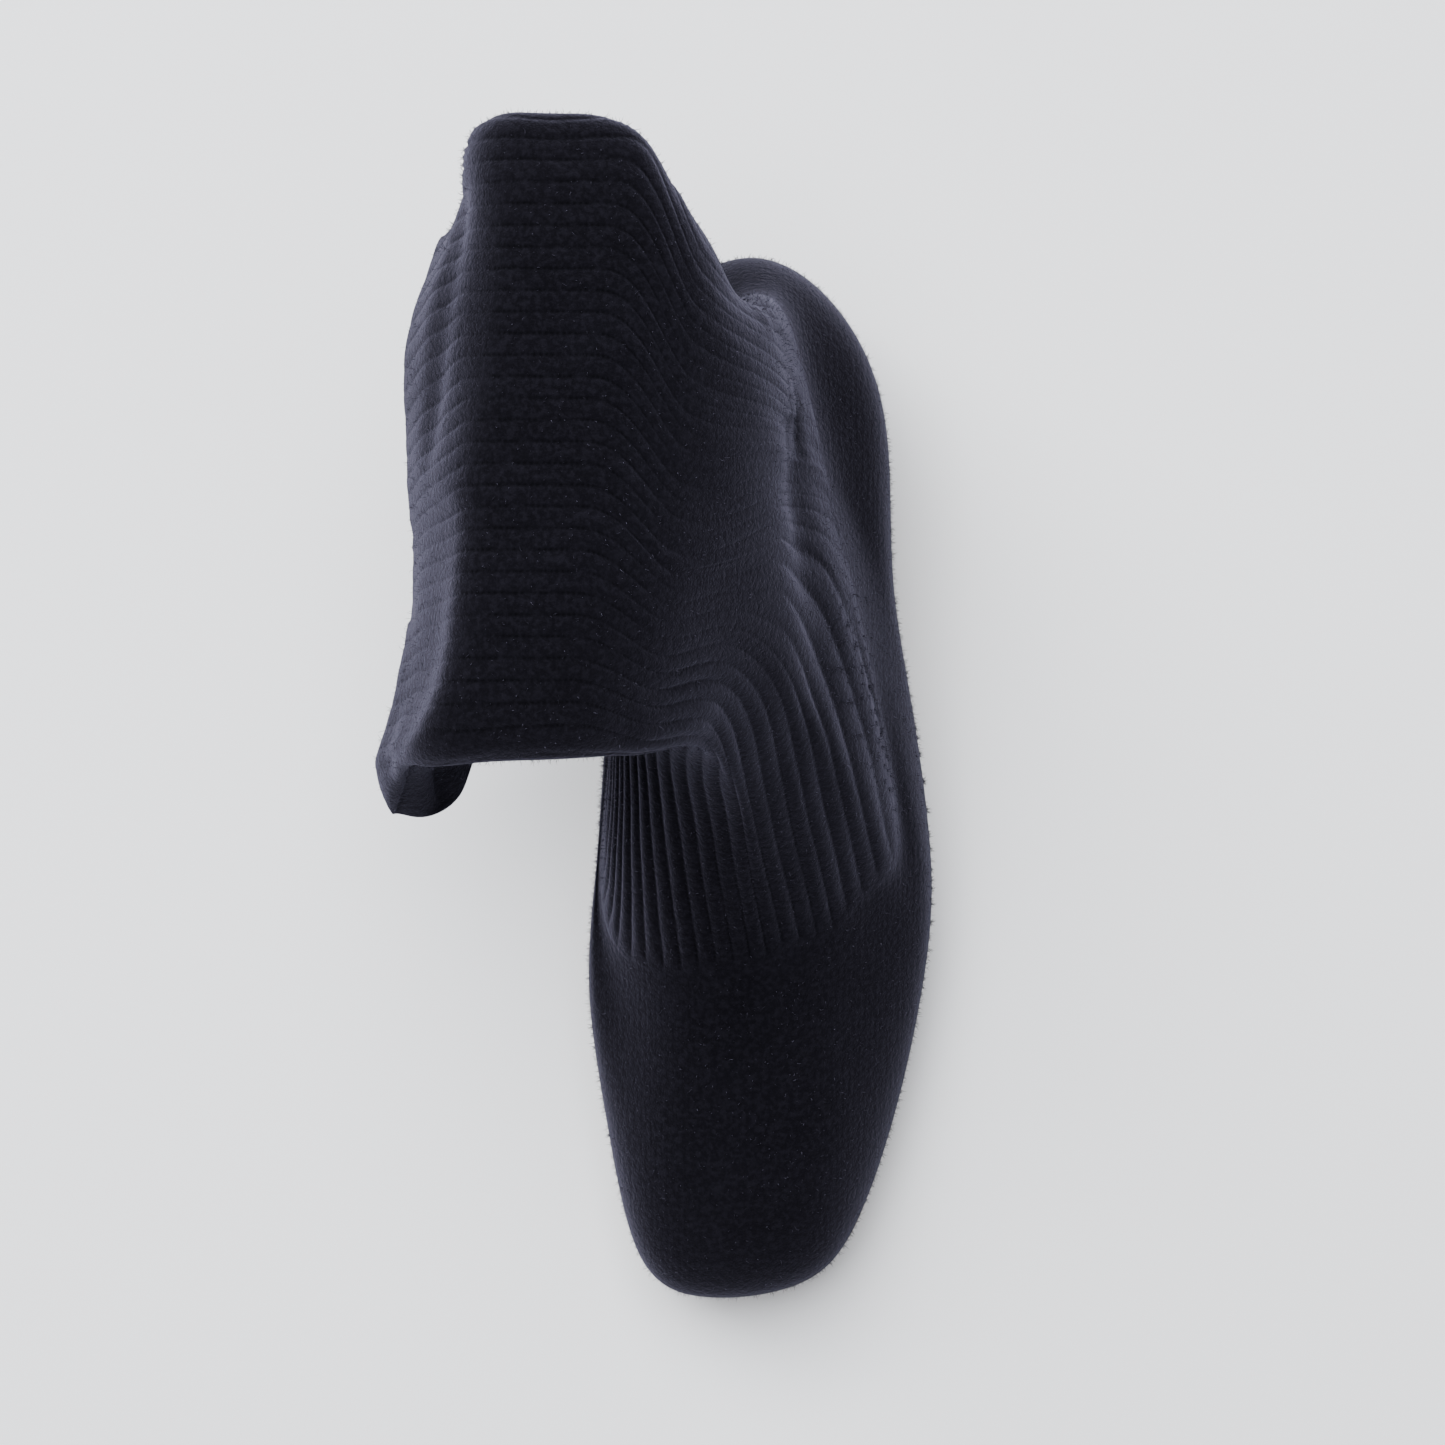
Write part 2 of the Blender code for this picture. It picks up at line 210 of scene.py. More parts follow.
SEAMS = (
    Seam(0.0, "heel back", 0.037, 0.005, 1.000, 0.22, 78.0),
    Seam(4.5, "heel quarter, outer", 0.100, 0.128, 0.960, 0.26, 72.0),
    Seam(11.4, "ankle, outer", 0.200, 0.200, 0.900, 0.30, 66.0),
    Seam(17.6, "quarter, outer", 0.306, 0.280, 0.850, 0.30, 62.0),
    Seam(19.8, "side, outer", 0.431, 0.368, 0.790, 0.24, 62.0),
    Seam(21.2, "throat corner, outer", 0.540, 0.428, 0.690, 0.18, 62.0),
    Seam(23.9, "throat bend, outer", 0.607, 0.335, 0.760, 0.26, 42.0),
    Seam(25.4, "throat round, outer", 0.634, 0.262, 0.800, 0.38, 32.0),
    Seam(27.0, "throat, outer", 0.650, 0.190, 0.835, 0.50, 22.0),
    Seam(30.6, "throat, middle", 0.672, 0.040, 0.900, 0.80, 15.0),
    Seam(34.0, "throat, inner", 0.684, -0.122, 0.905, 0.85, 14.0),
    Seam(37.4, "throat bend, inner", 0.684, -0.295, 0.800, 0.60, 22.0),
    Seam(40.4, "throat side, inner", 0.658, -0.432, 0.590, 0.24, 50.0),
    Seam(43.0, "throat corner, inner", 0.590, -0.474, 0.520, 0.14, 72.0),
    Seam(46.0, "side, inner", 0.450, -0.435, 0.680, 0.20, 74.0),
    Seam(51.0, "quarter, inner", 0.285, -0.365, 0.860, 0.26, 76.0),
    Seam(57.0, "ankle, inner", 0.155, -0.275, 0.940, 0.26, 78.0),
    Seam(61.0, "heel quarter, inner", 0.068, -0.150, 0.985, 0.24, 78.0),
)
SECTIONS = (
    Section("bend", 0.36, 2.1, 2.1,
            (0.06, 0.240, 0.700), (0.04, -0.020, 0.820), (0.16, -0.495, 0.640), (0.430, -0.140, 0.500)),
    Section("slope top", 0.48, 2.5, 2.2,
            (0.18, 0.310, 0.830), (0.22, 0.000, 0.930), (0.31, -0.495, 0.790), (0.470, -0.080, 0.630)),
    Section("over", 0.59, 2.7, 2.4,
            (0.33, 0.445, 0.890), (0.42, 0.010, 0.985), (0.48, -0.500, 0.880), (0.560, -0.040, 0.720)),
    Section("flat", 0.71, 2.8, 2.5,
            (0.57, 0.495, 0.910), (0.63, 0.010, 1.000), (0.72, -0.500, 0.895), (0.670, -0.020, 0.770)),
    Section("ridge", 0.83, 3.3, 2.8,
            (0.79, 0.455, 0.860), (0.83, 0.000, 0.955), (0.98, -0.500, 0.845), (0.730, -0.040, 0.710)),
    Section("skirt", 0.92, 3.2, 2.8,
            (0.84, 0.355, 0.740), (0.95, -0.050, 0.790), (1.02, -0.540, 0.700), (0.745, -0.080, 0.605)),
    Section("collar", 1.00, 3.6, 3.4,
            (0.90, 0.330, 0.640), (1.01, -0.120, 0.660), (1.05, -0.600, 0.580), (0.740, -0.140, 0.535)),
)

# Creases of the shaft, each a line of (rib, share of the way from the seam to the collar)
SHAFT_FOLDS = (
    Fold("ankle crease, outer", Crease.TROUGH, (6.0, 0.080), (8.5, 0.095), (11.5, 0.100), 0.0013, 0.0018),
    Fold("ankle roll, outer", Crease.RIDGE, (5.5, 0.150), (9.0, 0.150), (12.5, 0.145), 0.0008, 0.0022),
    Fold("quarter hollow", Crease.TROUGH, (8.0, 0.150), (14.0, 0.150), (22.0, 0.190), 0.0028, 0.0080),
    Fold("skirt flare", Crease.RIDGE, (21.0, 0.990), (26.5, 0.990), (31.0, 0.995), 0.0024, 0.0060),
    Fold("heel fold", Crease.RIDGE, (0.5, 0.380), (2.2, 0.310), (4.5, 0.240), 0.0004, 0.0022),
    Fold("heel notch", Crease.TROUGH, (62.5, 0.360), (64.0, 0.340), (65.5, 0.320), 0.0008, 0.0024),
    Fold("front roll", Crease.RIDGE, (29.5, 0.360), (30.0, 0.430), (30.3, 0.520), 0.0015, 0.0055),
    Fold("strip crease", Crease.TROUGH, (1.0, 0.880), (8.0, 0.882), (15.5, 0.905), 0.0026, 0.0034),
    Fold("soft corner", Crease.TROUGH, (18.0, 0.840), (25.5, 0.855), (32.0, 0.870), 0.0022, 0.0110),
    Fold("edge ridge", Crease.RIDGE, (21.0, 0.870), (24.0, 0.910), (27.0, 0.945), 0.0005, 0.0018),
    Fold("lobe fold", Crease.RIDGE, (31.0, 0.780), (31.8, 0.880), (31.8, 0.980), 0.0007, 0.0014),
    Fold("lobe crease", Crease.TROUGH, (34.0, 0.900), (34.2, 0.950), (34.3, 1.000), 0.0016, 0.0026),
)
ZONES = (
    Zone("front of the ankle", (20.5, 42.0), (-1.0, 0.48), (3.0, 0.10), 0.00036, 0.00020),
    Zone("heel and outer quarter", (-6.0, 18.5), (-1.0, 0.20), (4.0, 0.10), 0.00010, 0.00004),
    Zone("outer slope", (-3.0, 26.0), (0.24, 0.53), (4.0, 0.08), 0.00009, 0.00003),
    Zone("inner side", (43.0, 62.0), (-1.0, 1.10), (3.0, 0.05), 0.00028, 0.00008),
    Zone("lobe", (32.6, 41.0), (0.80, 1.10), (0.7, 0.07), 0.00003, 0.0),
)
WAVES = (
    Wave(1.0, 0.61, 61.0, 0.37, 43.0, 2.0),
    Wave(0.6, 1.90, 150.0, 1.10, 97.0, 0.0),
)
# How far the collar's edge lies out of its section, by rib
COLLAR_WAVE = (
    (0.0, 0.0), (3.0, 0.0012), (6.0, 0.0002), (8.5, 0.0026), (10.6, 0.0036), (14.0, 0.0022),
    (18.0, -0.0001), (21.2, -0.0020), (24.6, -0.0028), (27.5, -0.0023), (29.4, -0.0012), (30.4, 0.0003),
    (31.3, 0.0012), (32.3, -0.0002), (33.3, 0.0002), (34.5, 0.0006), (35.5, 0.0010), (36.5, 0.0008),
    (39.0, 0.0), (42.0, 0.0), (52.0, 0.0),
)
# How far the shaft's back and front corners lie out of their sections, by share of the way to the collar
CORNER_WAVE = (
    (0.0, 0.0), (0.28, 0.0), (0.37, -0.0014), (0.45, 0.0018), (0.55, 0.0016), (0.60, 0.0022), (0.67, 0.0011),
    (0.74, 0.0006), (0.82, 0.0024), (0.90, 0.0014), (1.0, 0.0),
)
FRONT_WAVE = (
    (0.0, 0.0), (0.45, 0.0), (0.62, 0.0008), (0.72, 0.0016), (0.78, 0.0032), (0.84, 0.0024),
    (0.90, 0.0006), (1.0, 0.0),
)
SOLE_PROFILE = (
    Ledge(-0.0030, 0.00), Ledge(-0.0008, 0.00), Ledge(-0.0003, 0.03), Ledge(-0.0001, 0.10),
    Ledge(0.0, 0.20), Ledge(0.0, 0.70), Ledge(-0.0001, 0.76), Ledge(-0.0005, 0.80),
    Ledge(-0.0006, 0.86), Ledge(-0.0007, 0.98), Ledge(-0.0010, 1.00), Ledge(-0.0030, 1.00),
)
INSOLE_PROFILE = (
    Ledge(-0.0030, 0.0), Ledge(0.0, 0.0), Ledge(0.0, 0.5), Ledge(-0.0003, 0.85), Ledge(-0.0010, 1.0),
    Ledge(-0.0040, 1.0),
)


def blend(first: Any, last: Any, share: Any) -> Any:
    """Returns the point or value that lies a share of the way from first to last."""
    return first + (last - first) * share


def ease(share: Any) -> Any:
    """Returns a share that starts and ends softly."""
    share = np.clip(share, 0.0, 1.0)
    return share * share * (3.0 - 2.0 * share)


def fade(value: Any, start: float, over: float) -> Any:
    """Returns a share that rises softly from 0 at start to 1 where it has spread over a range."""
    return ease((value - start) / over)


def unit(rows: Rows) -> Rows:
    """Returns each row made one long."""
    return rows / np.maximum(np.linalg.norm(rows, axis=-1, keepdims=True), 1e-12)


def bezier(first: Rows, second: Rows, third: Rows, last: Rows, share: float) -> Rows:
    """Returns a point of each cubic curve."""
    rest = 1.0 - share
    return first * rest**3 + second * 3 * rest**2 * share + third * 3 * rest * share**2 + last * share**3


def spline(knots: Any, values: Any, at: Any, period: float | None = None, start: Any = None) -> Rows:
    """Reads a smooth curve through values.

    Args:
        knots: Where each value lies.
        values: The values, numbers or rows.
        at: The places to read.
        period: The length after which the curve closes, if it does.
        start: The slope at the first knot, if it is held.

    Returns:
        A value for each place.
    """
    knots, values, at = np.asarray(knots, float), np.asarray(values, float), np.asarray(at, float)
    if period:
        knots, values = np.append(knots, knots[0] + period), np.concatenate([values, values[:1]])
        at = knots[0] + (at - knots[0]) % period
    count = len(knots)
    gaps = np.diff(knots)
    rises = np.diff(values, axis=0) / gaps.reshape([-1] + [1] * (values.ndim - 1))
    matrix, right = np.zeros((count, count)), np.zeros(values.shape)
    for i in range(1, count - 1):
        matrix[i, i - 1 : i + 2] = gaps[i - 1], 2.0 * (gaps[i - 1] + gaps[i]), gaps[i]
        right[i] = 6.0 * (rises[i] - rises[i - 1])
    if period:
        matrix[0, 0], matrix[0, -1] = 1.0, -1.0
        matrix[-1, 0], matrix[-1, 1] = 2.0 * gaps[0], gaps[0]
        matrix[-1, -2], matrix[-1, -1] = gaps[-1], 2.0 * gaps[-1]
        right[-1] = 6.0 * (rises[0] - rises[-1])
    else:
        matrix[0, 0] = matrix[-1, -1] = 1.0
        if start is not None:
            matrix[0, :2] = 2.0 * gaps[0], gaps[0]
            right[0] = 6.0 * (rises[0] - start)
    bends = np.linalg.solve(matrix, right.reshape(count, -1)).reshape(values.shape)
    span = np.clip(np.searchsorted(knots, at, side="right") - 1, 0, count - 2)
    shape = [-1] + [1] * (values.ndim - 1)
    gap = gaps[span].reshape(shape)
    after = (at - knots[span]).reshape(shape)
    before = gap - after
    cubes = (bends[span] * before**3 + bends[span + 1] * after**3) / (6.0 * gap)
    first = (values[span] / gap - bends[span] * gap / 6.0) * before
    return cubes + first + (values[span + 1] / gap - bends[span + 1] * gap / 6.0) * after


def around(table: Sequence[Any], column: str, ribs: Rows) -> Rows:
    """Returns one column of a table, read smoothly all round."""
    return spline([row.rib for row in table], [getattr(row, column) for row in table], ribs, period=RIBS)


def read_wave(table: Sequence[Span], at: Rows, period: float | None = None) -> Rows:
    """Returns a smooth curve through a table of places and values, read at the places given."""
    knots, values = zip(*table)
    return spline(knots, values, at, period=period)


def ribs_apart(ribs: Rows, middle: Any) -> Rows:
    """Returns how many ribs lie between, the shorter way round the boot."""
    return np.abs((ribs - middle + RIBS / 2) % RIBS - RIBS / 2)


@dataclass(frozen=True)
class BootForm:
    """The sizes of the boot and the forms that follow from them, as in the solids."""

    foot_length: float = 0.2445
    ball_width: float = 0.0790
    heel_back: float = 0.0245
    quarter_height: float = 0.0520
    wall: float = 0.0024
    clearance: float = 0.0003
    swell_out: float = 0.5
    swell_start: float = 0.28
    swell_end: float = 0.4
    sole_thickness: float = 0.0040
    sole_margin: float = 0.0018
    toe_spring: float = 0.0075
    toe_curve: float = 1.8
    heel_height: float = 0.0200
    heel_length: float = 0.0520
    heel_taper: float = 0.0025
    top_piece_thickness: float = 0.0050
    breast_hollow: float = 0.0030
    insole_thickness: float = 0.0022
    shaft_wall: float = 0.0026
    shaft_width: float = 0.1400
    shaft_rise: float = 0.1150
    shaft_lean: float = 0.0780
    shaft_middle: float = -0.0200
    bend_pull: float = 0.0560
    tread_front: float = 0.765
    tread_back: float = 0.585
    seat_front: float = 0.215
    section_steps: int = 1200
    heel_steps: int = 2048
    rib_step: float = 0.05

    def seat_level(self) -> float:
        """Returns the height of the sole's top under the heel."""
        return self.heel_height + self.sole_thickness

    def sole_bottom(self, y: Any) -> Any:
        """Works out the height of the sole's underside: toe spring, flat tread, arch and flat seat.

        Args:
            y: Where to read it along the boot.

        Returns:
            A height for each place.
        """
        along = (self.heel_back - np.asarray(y, float)) / self.foot_length
        front = np.clip((along - self.tread_front) / (1.0 - self.tread_front), 0.0, None)
        arch = ease((self.tread_back - along) / (self.tread_back - self.seat_front))
        return self.toe_spring * front**self.toe_curve + self.heel_height * arch

    def foot_point(self, along: Any, side: Any, height: Any) -> Rows:
        """Works out points of the foot from their shares.

        Args:
            along: The share of the foot's length from the heel.
            side: The share of the ball's width from the middle line, outwards.
            height: The share of the quarter's height above the sole's top.

        Returns:
            A point for each set of shares.
        """
        y = self.heel_back - np.asarray(along) * self.foot_length
        z = self.sole_bottom(y) + self.sole_thickness + np.asarray(height) * self.quarter_height
        return np.stack([np.asarray(side) * self.ball_width, y, z], axis=-1)

    def outwards(self, ribs: Rows) -> Rows:
        """Works out the level direction out of the outline.

        Args:
            ribs: The lines round the boot.

        Returns:
            A direction for each line.
        """
        before, after = (
            self.foot_point(around(BASES, "along", at), around(BASES, "side", at), 0.0)
            for at in (ribs - self.rib_step, ribs + self.rib_step)
        )
        way = after - before
        return unit(np.stack([-way[:, 1], way[:, 0], np.zeros(len(way))], axis=-1))

    def outline(self, ribs: Rows, offset: float = 0.0) -> Rows:
        """Returns the wall's foot in plan, moved outwards by offset."""
        points = self.foot_point(around(BASES, "along", ribs), around(BASES, "side", ribs), 0.0)
        return points + self.outwards(ribs) * offset

    def swell(self, ribs: Rows) -> Rows:
        """Returns how far the foot's wall swells past its foot."""
        return around(BASES, "out", ribs)[:, None] * self.ball_width

    def seam_line(self, ribs: Rows) -> Rows:
        """Returns the seam loop."""
        return self.foot_point(*(around(SEAMS, column, ribs) for column in ("along", "side", "height")))

    def section_points(self, section: Section, ribs: Rows) -> Rows:
        """Returns a closed flattened section, with its ribs at even distances.

        Args:
            section: The row of the table.
            ribs: The lines to read, in ribs.

        Returns:
            A point for each line.
        """
        back, top, front, under = (
            np.array([
                -lean * self.shaft_lean,
                self.shaft_middle + along * self.shaft_width,
                self.seat_level() + rise * self.shaft_rise,
            ])
            for lean, along, rise in (section.back, section.top, section.front, section.under)
        )
        centre = (back + front) / 2.0
        line = unit(back - centre)
        turn = np.linspace(0.0, pi, self.section_steps)
        share = (np.asarray(ribs, float) / RIBS) % 1.0
        found = np.zeros((len(share), 3))
        halves = ((0.0, top, section.crown), (0.5, under, section.belly))
        for start, side, power in halves:
            way = np.cos(turn) * (1.0 - 4.0 * start)
            way = np.sign(way) * np.abs(way) ** (2.0 / power)
            shift = np.dot(side - centre, line) * line
            curve = centre + np.outer(way, back - centre) + np.outer(np.sin(turn) ** 2, shift)
            curve = curve + np.outer(np.abs(np.sin(turn)) ** (2.0 / power), side - centre - shift)
            length = np.concatenate([[0.0], np.cumsum(np.linalg.norm(np.diff(curve, axis=0), axis=1))])
            here = (share >= start) & (share < start + 0.5)
            at = (share[here] - start) * 2.0 * length[-1]
            found[here] = np.stack([np.interp(at, length, curve[:, axis]) for axis in range(3)], axis=-1)
        return found

    def seam_slope(self, ribs: Rows) -> Rows:
        """Works out the direction in which the wall passes the seam.

        Args:
            ribs: The lines round the boot.

        Returns:
            An upward direction for each line.
        """
        seam = self.seam_line(ribs)
        side = self.outline(ribs) + self.outwards(ribs) * self.swell(ribs)
        plan = unit((seam - side) * LEVEL) + unit((self.section_points(SECTIONS[0], ribs) - seam) * LEVEL)
        climb = np.radians(around(SEAMS, "climb", ribs))[:, None]
        return unit(plan) * np.cos(climb) + np.sin(climb) * UP

    def foot_rings(self, ribs: Rows, shares: Sequence[float]) -> Rows:
        """Works out rings of the foot's outer face.

        Args:
            ribs: The lines round the boot.
            shares: 0 at the sole, 1 at the widest line, 2 at the seam.

        Returns:
            A grid of points, one row for each share.
        """
        base = self.outline(ribs) + UP * self.clearance
        belly = around(BASES, "belly", ribs)[:, None] * self.quarter_height
        side = base + self.outwards(ribs) * self.swell(ribs) + UP * belly
        low = blend(base, side, self.swell_out) - UP * belly * self.swell_start
        slope = self.seam_slope(ribs)
        seam = self.seam_line(ribs)
        rise = around(BASES, "rise", ribs)[:, None] * self.quarter_height
        reach = around(SEAMS, "reach", ribs)[:, None] * self.quarter_height
        rows = []
        for share in shares:
            if share <= 1.0:
                rows.append(bezier(base, low, side - UP * belly * self.swell_end, side, share))
            else:
                rows.append(bezier(side, side + UP * rise, seam - slope * reach, seam, share - 1.0))
        return np.array(rows)

    def shaft_rings(self, ribs: Rows, shares: Any) -> Rows:
        """Works out rings of the shaft's outer face.

        Args:
            ribs: The lines round the boot.
            shares: 0 at the seam, 1 at the collar.

        Returns:
            A grid of points, one row for each share.
        """
        slope = self.seam_slope(ribs)
        rings = [self.seam_line(ribs)] + [self.section_points(section, ribs) for section in SECTIONS]
        steps = [0.0] + [section.step for section in SECTIONS]
        return spline(steps, rings, shares, start=slope * self.bend_pull / SECTIONS[0].step)


def grid_normals(grid: Rows) -> Rows:
    """Works out which way a wall faces.

    Args:
        grid: The wall's points, in rings from below to above.

    Returns:
        The outward direction at each point.
    """
    round_boot = np.roll(grid, -1, axis=1) - np.roll(grid, 1, axis=1)
    upwards = np.gradient(grid, axis=0)
    return unit(np.cross(upwards, round_boot))


def lengths_along(grid: Rows) -> Rows:
    """Returns how far along the wall each point of a grid lies, measured up its column."""
    step = np.linalg.norm(np.diff(grid, axis=0), axis=-1)
    return np.concatenate([np.zeros((1, grid.shape[1])), np.cumsum(step, axis=0)])


def smooth_rows(values: Rows, turns: int) -> Rows:
    """Evens out a grid of values, along the wall and round it.

    Args:
        values: The values, in rings.
        turns: How many times it is done.

    Returns:
        The smoother values.
    """
    for _ in range(turns):
        ends = np.concatenate([values[:1], values, values[-1:]])
        values = (ends[:-2] + ends[1:-1] * 2.0 + ends[2:]) / 4.0
        values = (np.roll(values, 1, axis=1) + values * 2.0 + np.roll(values, -1, axis=1)) / 4.0
    return values


def rows_apart(first_step: float, count: int, ends: int, growth: float = 1.7) -> Rows:
    """Works out shares from 0 to 1 that lie closer at both ends.

    Args:
        first_step: The first share after 0.
        count: How many even steps the middle has.
        ends: How many short steps each end has.
        growth: How much longer each short step is than the one before.

    Returns:
        The shares, in order.
    """
    short = first_step * growth ** np.arange(ends)
    low = np.concatenate([[0.0], np.cumsum(short)])
    middle = np.linspace(low[-1], 1.0 - low[-1], count + 1)[1:-1]
    return np.concatenate([low, middle, 1.0 - low[::-1]])


class Workshop:
    """Calls that make and dress objects."""

    @staticmethod
    def deselect() -> None:
        """Leaves nothing selected."""
        bpy.ops.object.select_all(action="DESELECT")

    @staticmethod
    def activate(piece: bpy.types.Object) -> None:
        """Selects one piece alone and makes it the active one."""
        Workshop.deselect()
        piece.select_set(True)
        bpy.context.view_layer.objects.active = piece

    @staticmethod
    def bevel(piece: bpy.types.Object, width: float, segments: int = 2, angle: float = radians(50.0)) -> None:
        """Rounds the sharp edges of a piece.

        Args:
            piece: The piece.
            width: How far the round reaches from the edge.
            segments: How many faces it has.
            angle: The least angle between faces that makes an edge sharp.
        """
        Workshop.activate(piece)
        added = piece.modifiers.new("Bevel", "BEVEL")
        added.width = width
        added.segments = segments
        added.limit_method = "ANGLE"
        added.angle_limit = angle
        bpy.ops.object.modifier_apply(modifier=added.name)

    @staticmethod
    def dress(piece: bpy.types.Object, finish: bpy.types.Material, slot: Slot, nodes: Sequence[str]) -> None:
        """Gives a piece its finish and its body, and hides the nodes that it stands for.

        Args:
            piece: The finished piece.
            finish: Its material.
            slot: The material slot; not used.
            nodes: The names of the nodes that it replaces.
        """
        piece.data.materials.clear()
        piece.data.materials.append(finish)
        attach(piece, "root")
        if nodes:
            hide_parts(*nodes)
        LOG.info("%s: %d faces", piece.name, len(piece.data.polygons))

    @staticmethod
    def tube(name: str, rows: Rows, ribs: Rows, lengths: Rows, closed: bool) -> bpy.types.Object:
        """Makes a mesh from rings, with a UV map of ribs and lengths.

        Args:
            name: The object's name.
            rows: The rings of points, each with as many points as there are ribs given.
            ribs: The rib number of each column.
            lengths: How far along the wall each ring lies, in metres.
            closed: Whether the last ring joins the first.

        Returns:
            The new object.
        """
        count, columns = rows.shape[:2]
        first = np.arange(count if closed else count - 1)
        second = (first + 1) % count
        left = np.arange(columns)
        right = (left + 1) % columns
        corners = [
            first[:, None] * columns + left,
            second[:, None] * columns + left,
            second[:, None] * columns + right,
            first[:, None] * columns + right,
        ]
        faces = np.stack(corners, axis=-1).reshape(-1, 4)
        mesh = bpy.data.meshes.new(name)
        mesh.from_pydata(rows.reshape(-1, 3).tolist(), [], faces.tolist())
        next_rib = np.append(ribs[1:], ribs[0] + RIBS)
        shape = (len(first), columns)
        u = np.stack([np.broadcast_to(value, shape) for value in (ribs, ribs, next_rib, next_rib)], axis=-1)
        low, high = lengths[first][:, None], lengths[second][:, None]
        v = np.stack([np.broadcast_to(value, shape) for value in (low, high, high, low)], axis=-1)
        uv = np.stack([u, v], axis=-1).reshape(-1)
        layer = mesh.uv_layers.new(name=KNIT_MAP)
        layer.data.foreach_set("uv", uv.astype(np.float32))
        made = bpy.data.objects.new(name, mesh)
        bpy.context.scene.collection.objects.link(made)
        mesh.shade_smooth()
        return made


class Recipe:
    """A material in the making: adds nodes and joins them."""

    def __init__(self, name: str) -> None:
        """Starts a material.

        Args:
            name: The material's name.
        """
        self.material = bpy.data.materials.new(name)
        self.material.use_nodes = True
        self.tree = self.material.node_tree
        self.shader = self.tree.nodes["Principled BSDF"]

    def add(self, kind: str, inputs: dict[Any, Any] | None = None, **settings: Any) -> bpy.types.Node:
        """Adds a node.

        Args:
            kind: The node's type, without its ShaderNode.
            inputs: A value or an output for each input, by name or number.
            **settings: The node's own settings.

        Returns:
            The new node.
        """
        node = self.tree.nodes.new("ShaderNode" + kind)
        for name, value in settings.items():
            setattr(node, name, value)
        for name, value in (inputs or {}).items():
            self.put(node, name, value)
        return node

    def put(self, node: bpy.types.Node, name: Any, value: Any) -> None:
        """Sets an input to a value, or joins it to an output.

        Args:
            node: The node.
            name: The input's name or number.
            value: The value or output.
        """
        socket = node.inputs[name]
        if isinstance(value, bpy.types.NodeSocket):
            self.tree.links.new(value, socket)
        else:
            socket.default_value = value

    def math(self, operation: str, *values: Any, clamp: bool = False) -> bpy.types.NodeSocket:
        """Returns the result of a sum on numbers or outputs."""
        node = self.add("Math", dict(enumerate(values)), operation=operation, use_clamp=clamp)
        return node.outputs[0]

    def noise(self, place: Any, scale: float, detail: float, rough: float = 0.5) -> bpy.types.NodeSocket:
        """Returns a noise value from 0 to 1."""
        inputs = {"Vector": place, "Scale": scale, "Detail": detail, "Roughness": rough}
        return self.add("TexNoise", inputs).outputs["Fac"]

    def spread(self, value: Any, low: float, high: float, to_low: float = 0.0, to_high: float = 1.0) -> Any:
        """Moves a value softly from one range to another, and holds it at the ends.

        Args:
            value: The value to move.
            low: Where its range starts.
            high: Where its range ends.
            to_low: What the start becomes.
            to_high: What the end becomes.

        Returns:
            The moved value.
        """
        inputs = {"Value": value, "From Min": low, "From Max": high, "To Min": to_low, "To Max": to_high}
        return self.add("MapRange", inputs, clamp=True, interpolation_type="SMOOTHSTEP").outputs["Result"]

    def mix(self, share: Any, first: Any, second: Any) -> bpy.types.NodeSocket:
        """Adds a blend of two colours.

        Args:
            share: How much of the second shows.
            first: The first colour or output.
            second: The second colour or output.

        Returns:
            The blended colour.
        """
        node = self.add("Mix", {0: share}, data_type="RGBA")
        for index, value in ((6, first), (7, second)):
            self.put(node, index, value if isinstance(value, bpy.types.NodeSocket) else (*value, 1.0))
        return node.outputs[2]

    def stretched(self, scale: tuple[float, float, float]) -> bpy.types.NodeSocket:
        """Returns places on the boot, stretched along its axes."""
        place = self.add("TexCoord").outputs["Object"]
        return self.add("Mapping", {"Vector": place, "Scale": scale}).outputs["Vector"]

    def bump(self, height: Any) -> None:
        """Gives the finish a bump of a real height in metres."""
        inputs = {"Height": height, "Distance": 1.0, "Strength": 1.0}
        self.put(self.shader, "Normal", self.add("Bump", inputs).outputs["Normal"])

    def even(self, **values: Any) -> None:
        """Sets the shader's own values, with underscores for blanks."""
        for name, value in values.items():
            self.shader.inputs[name.replace("_", " ").title().replace("Ior", "IOR")].default_value = value


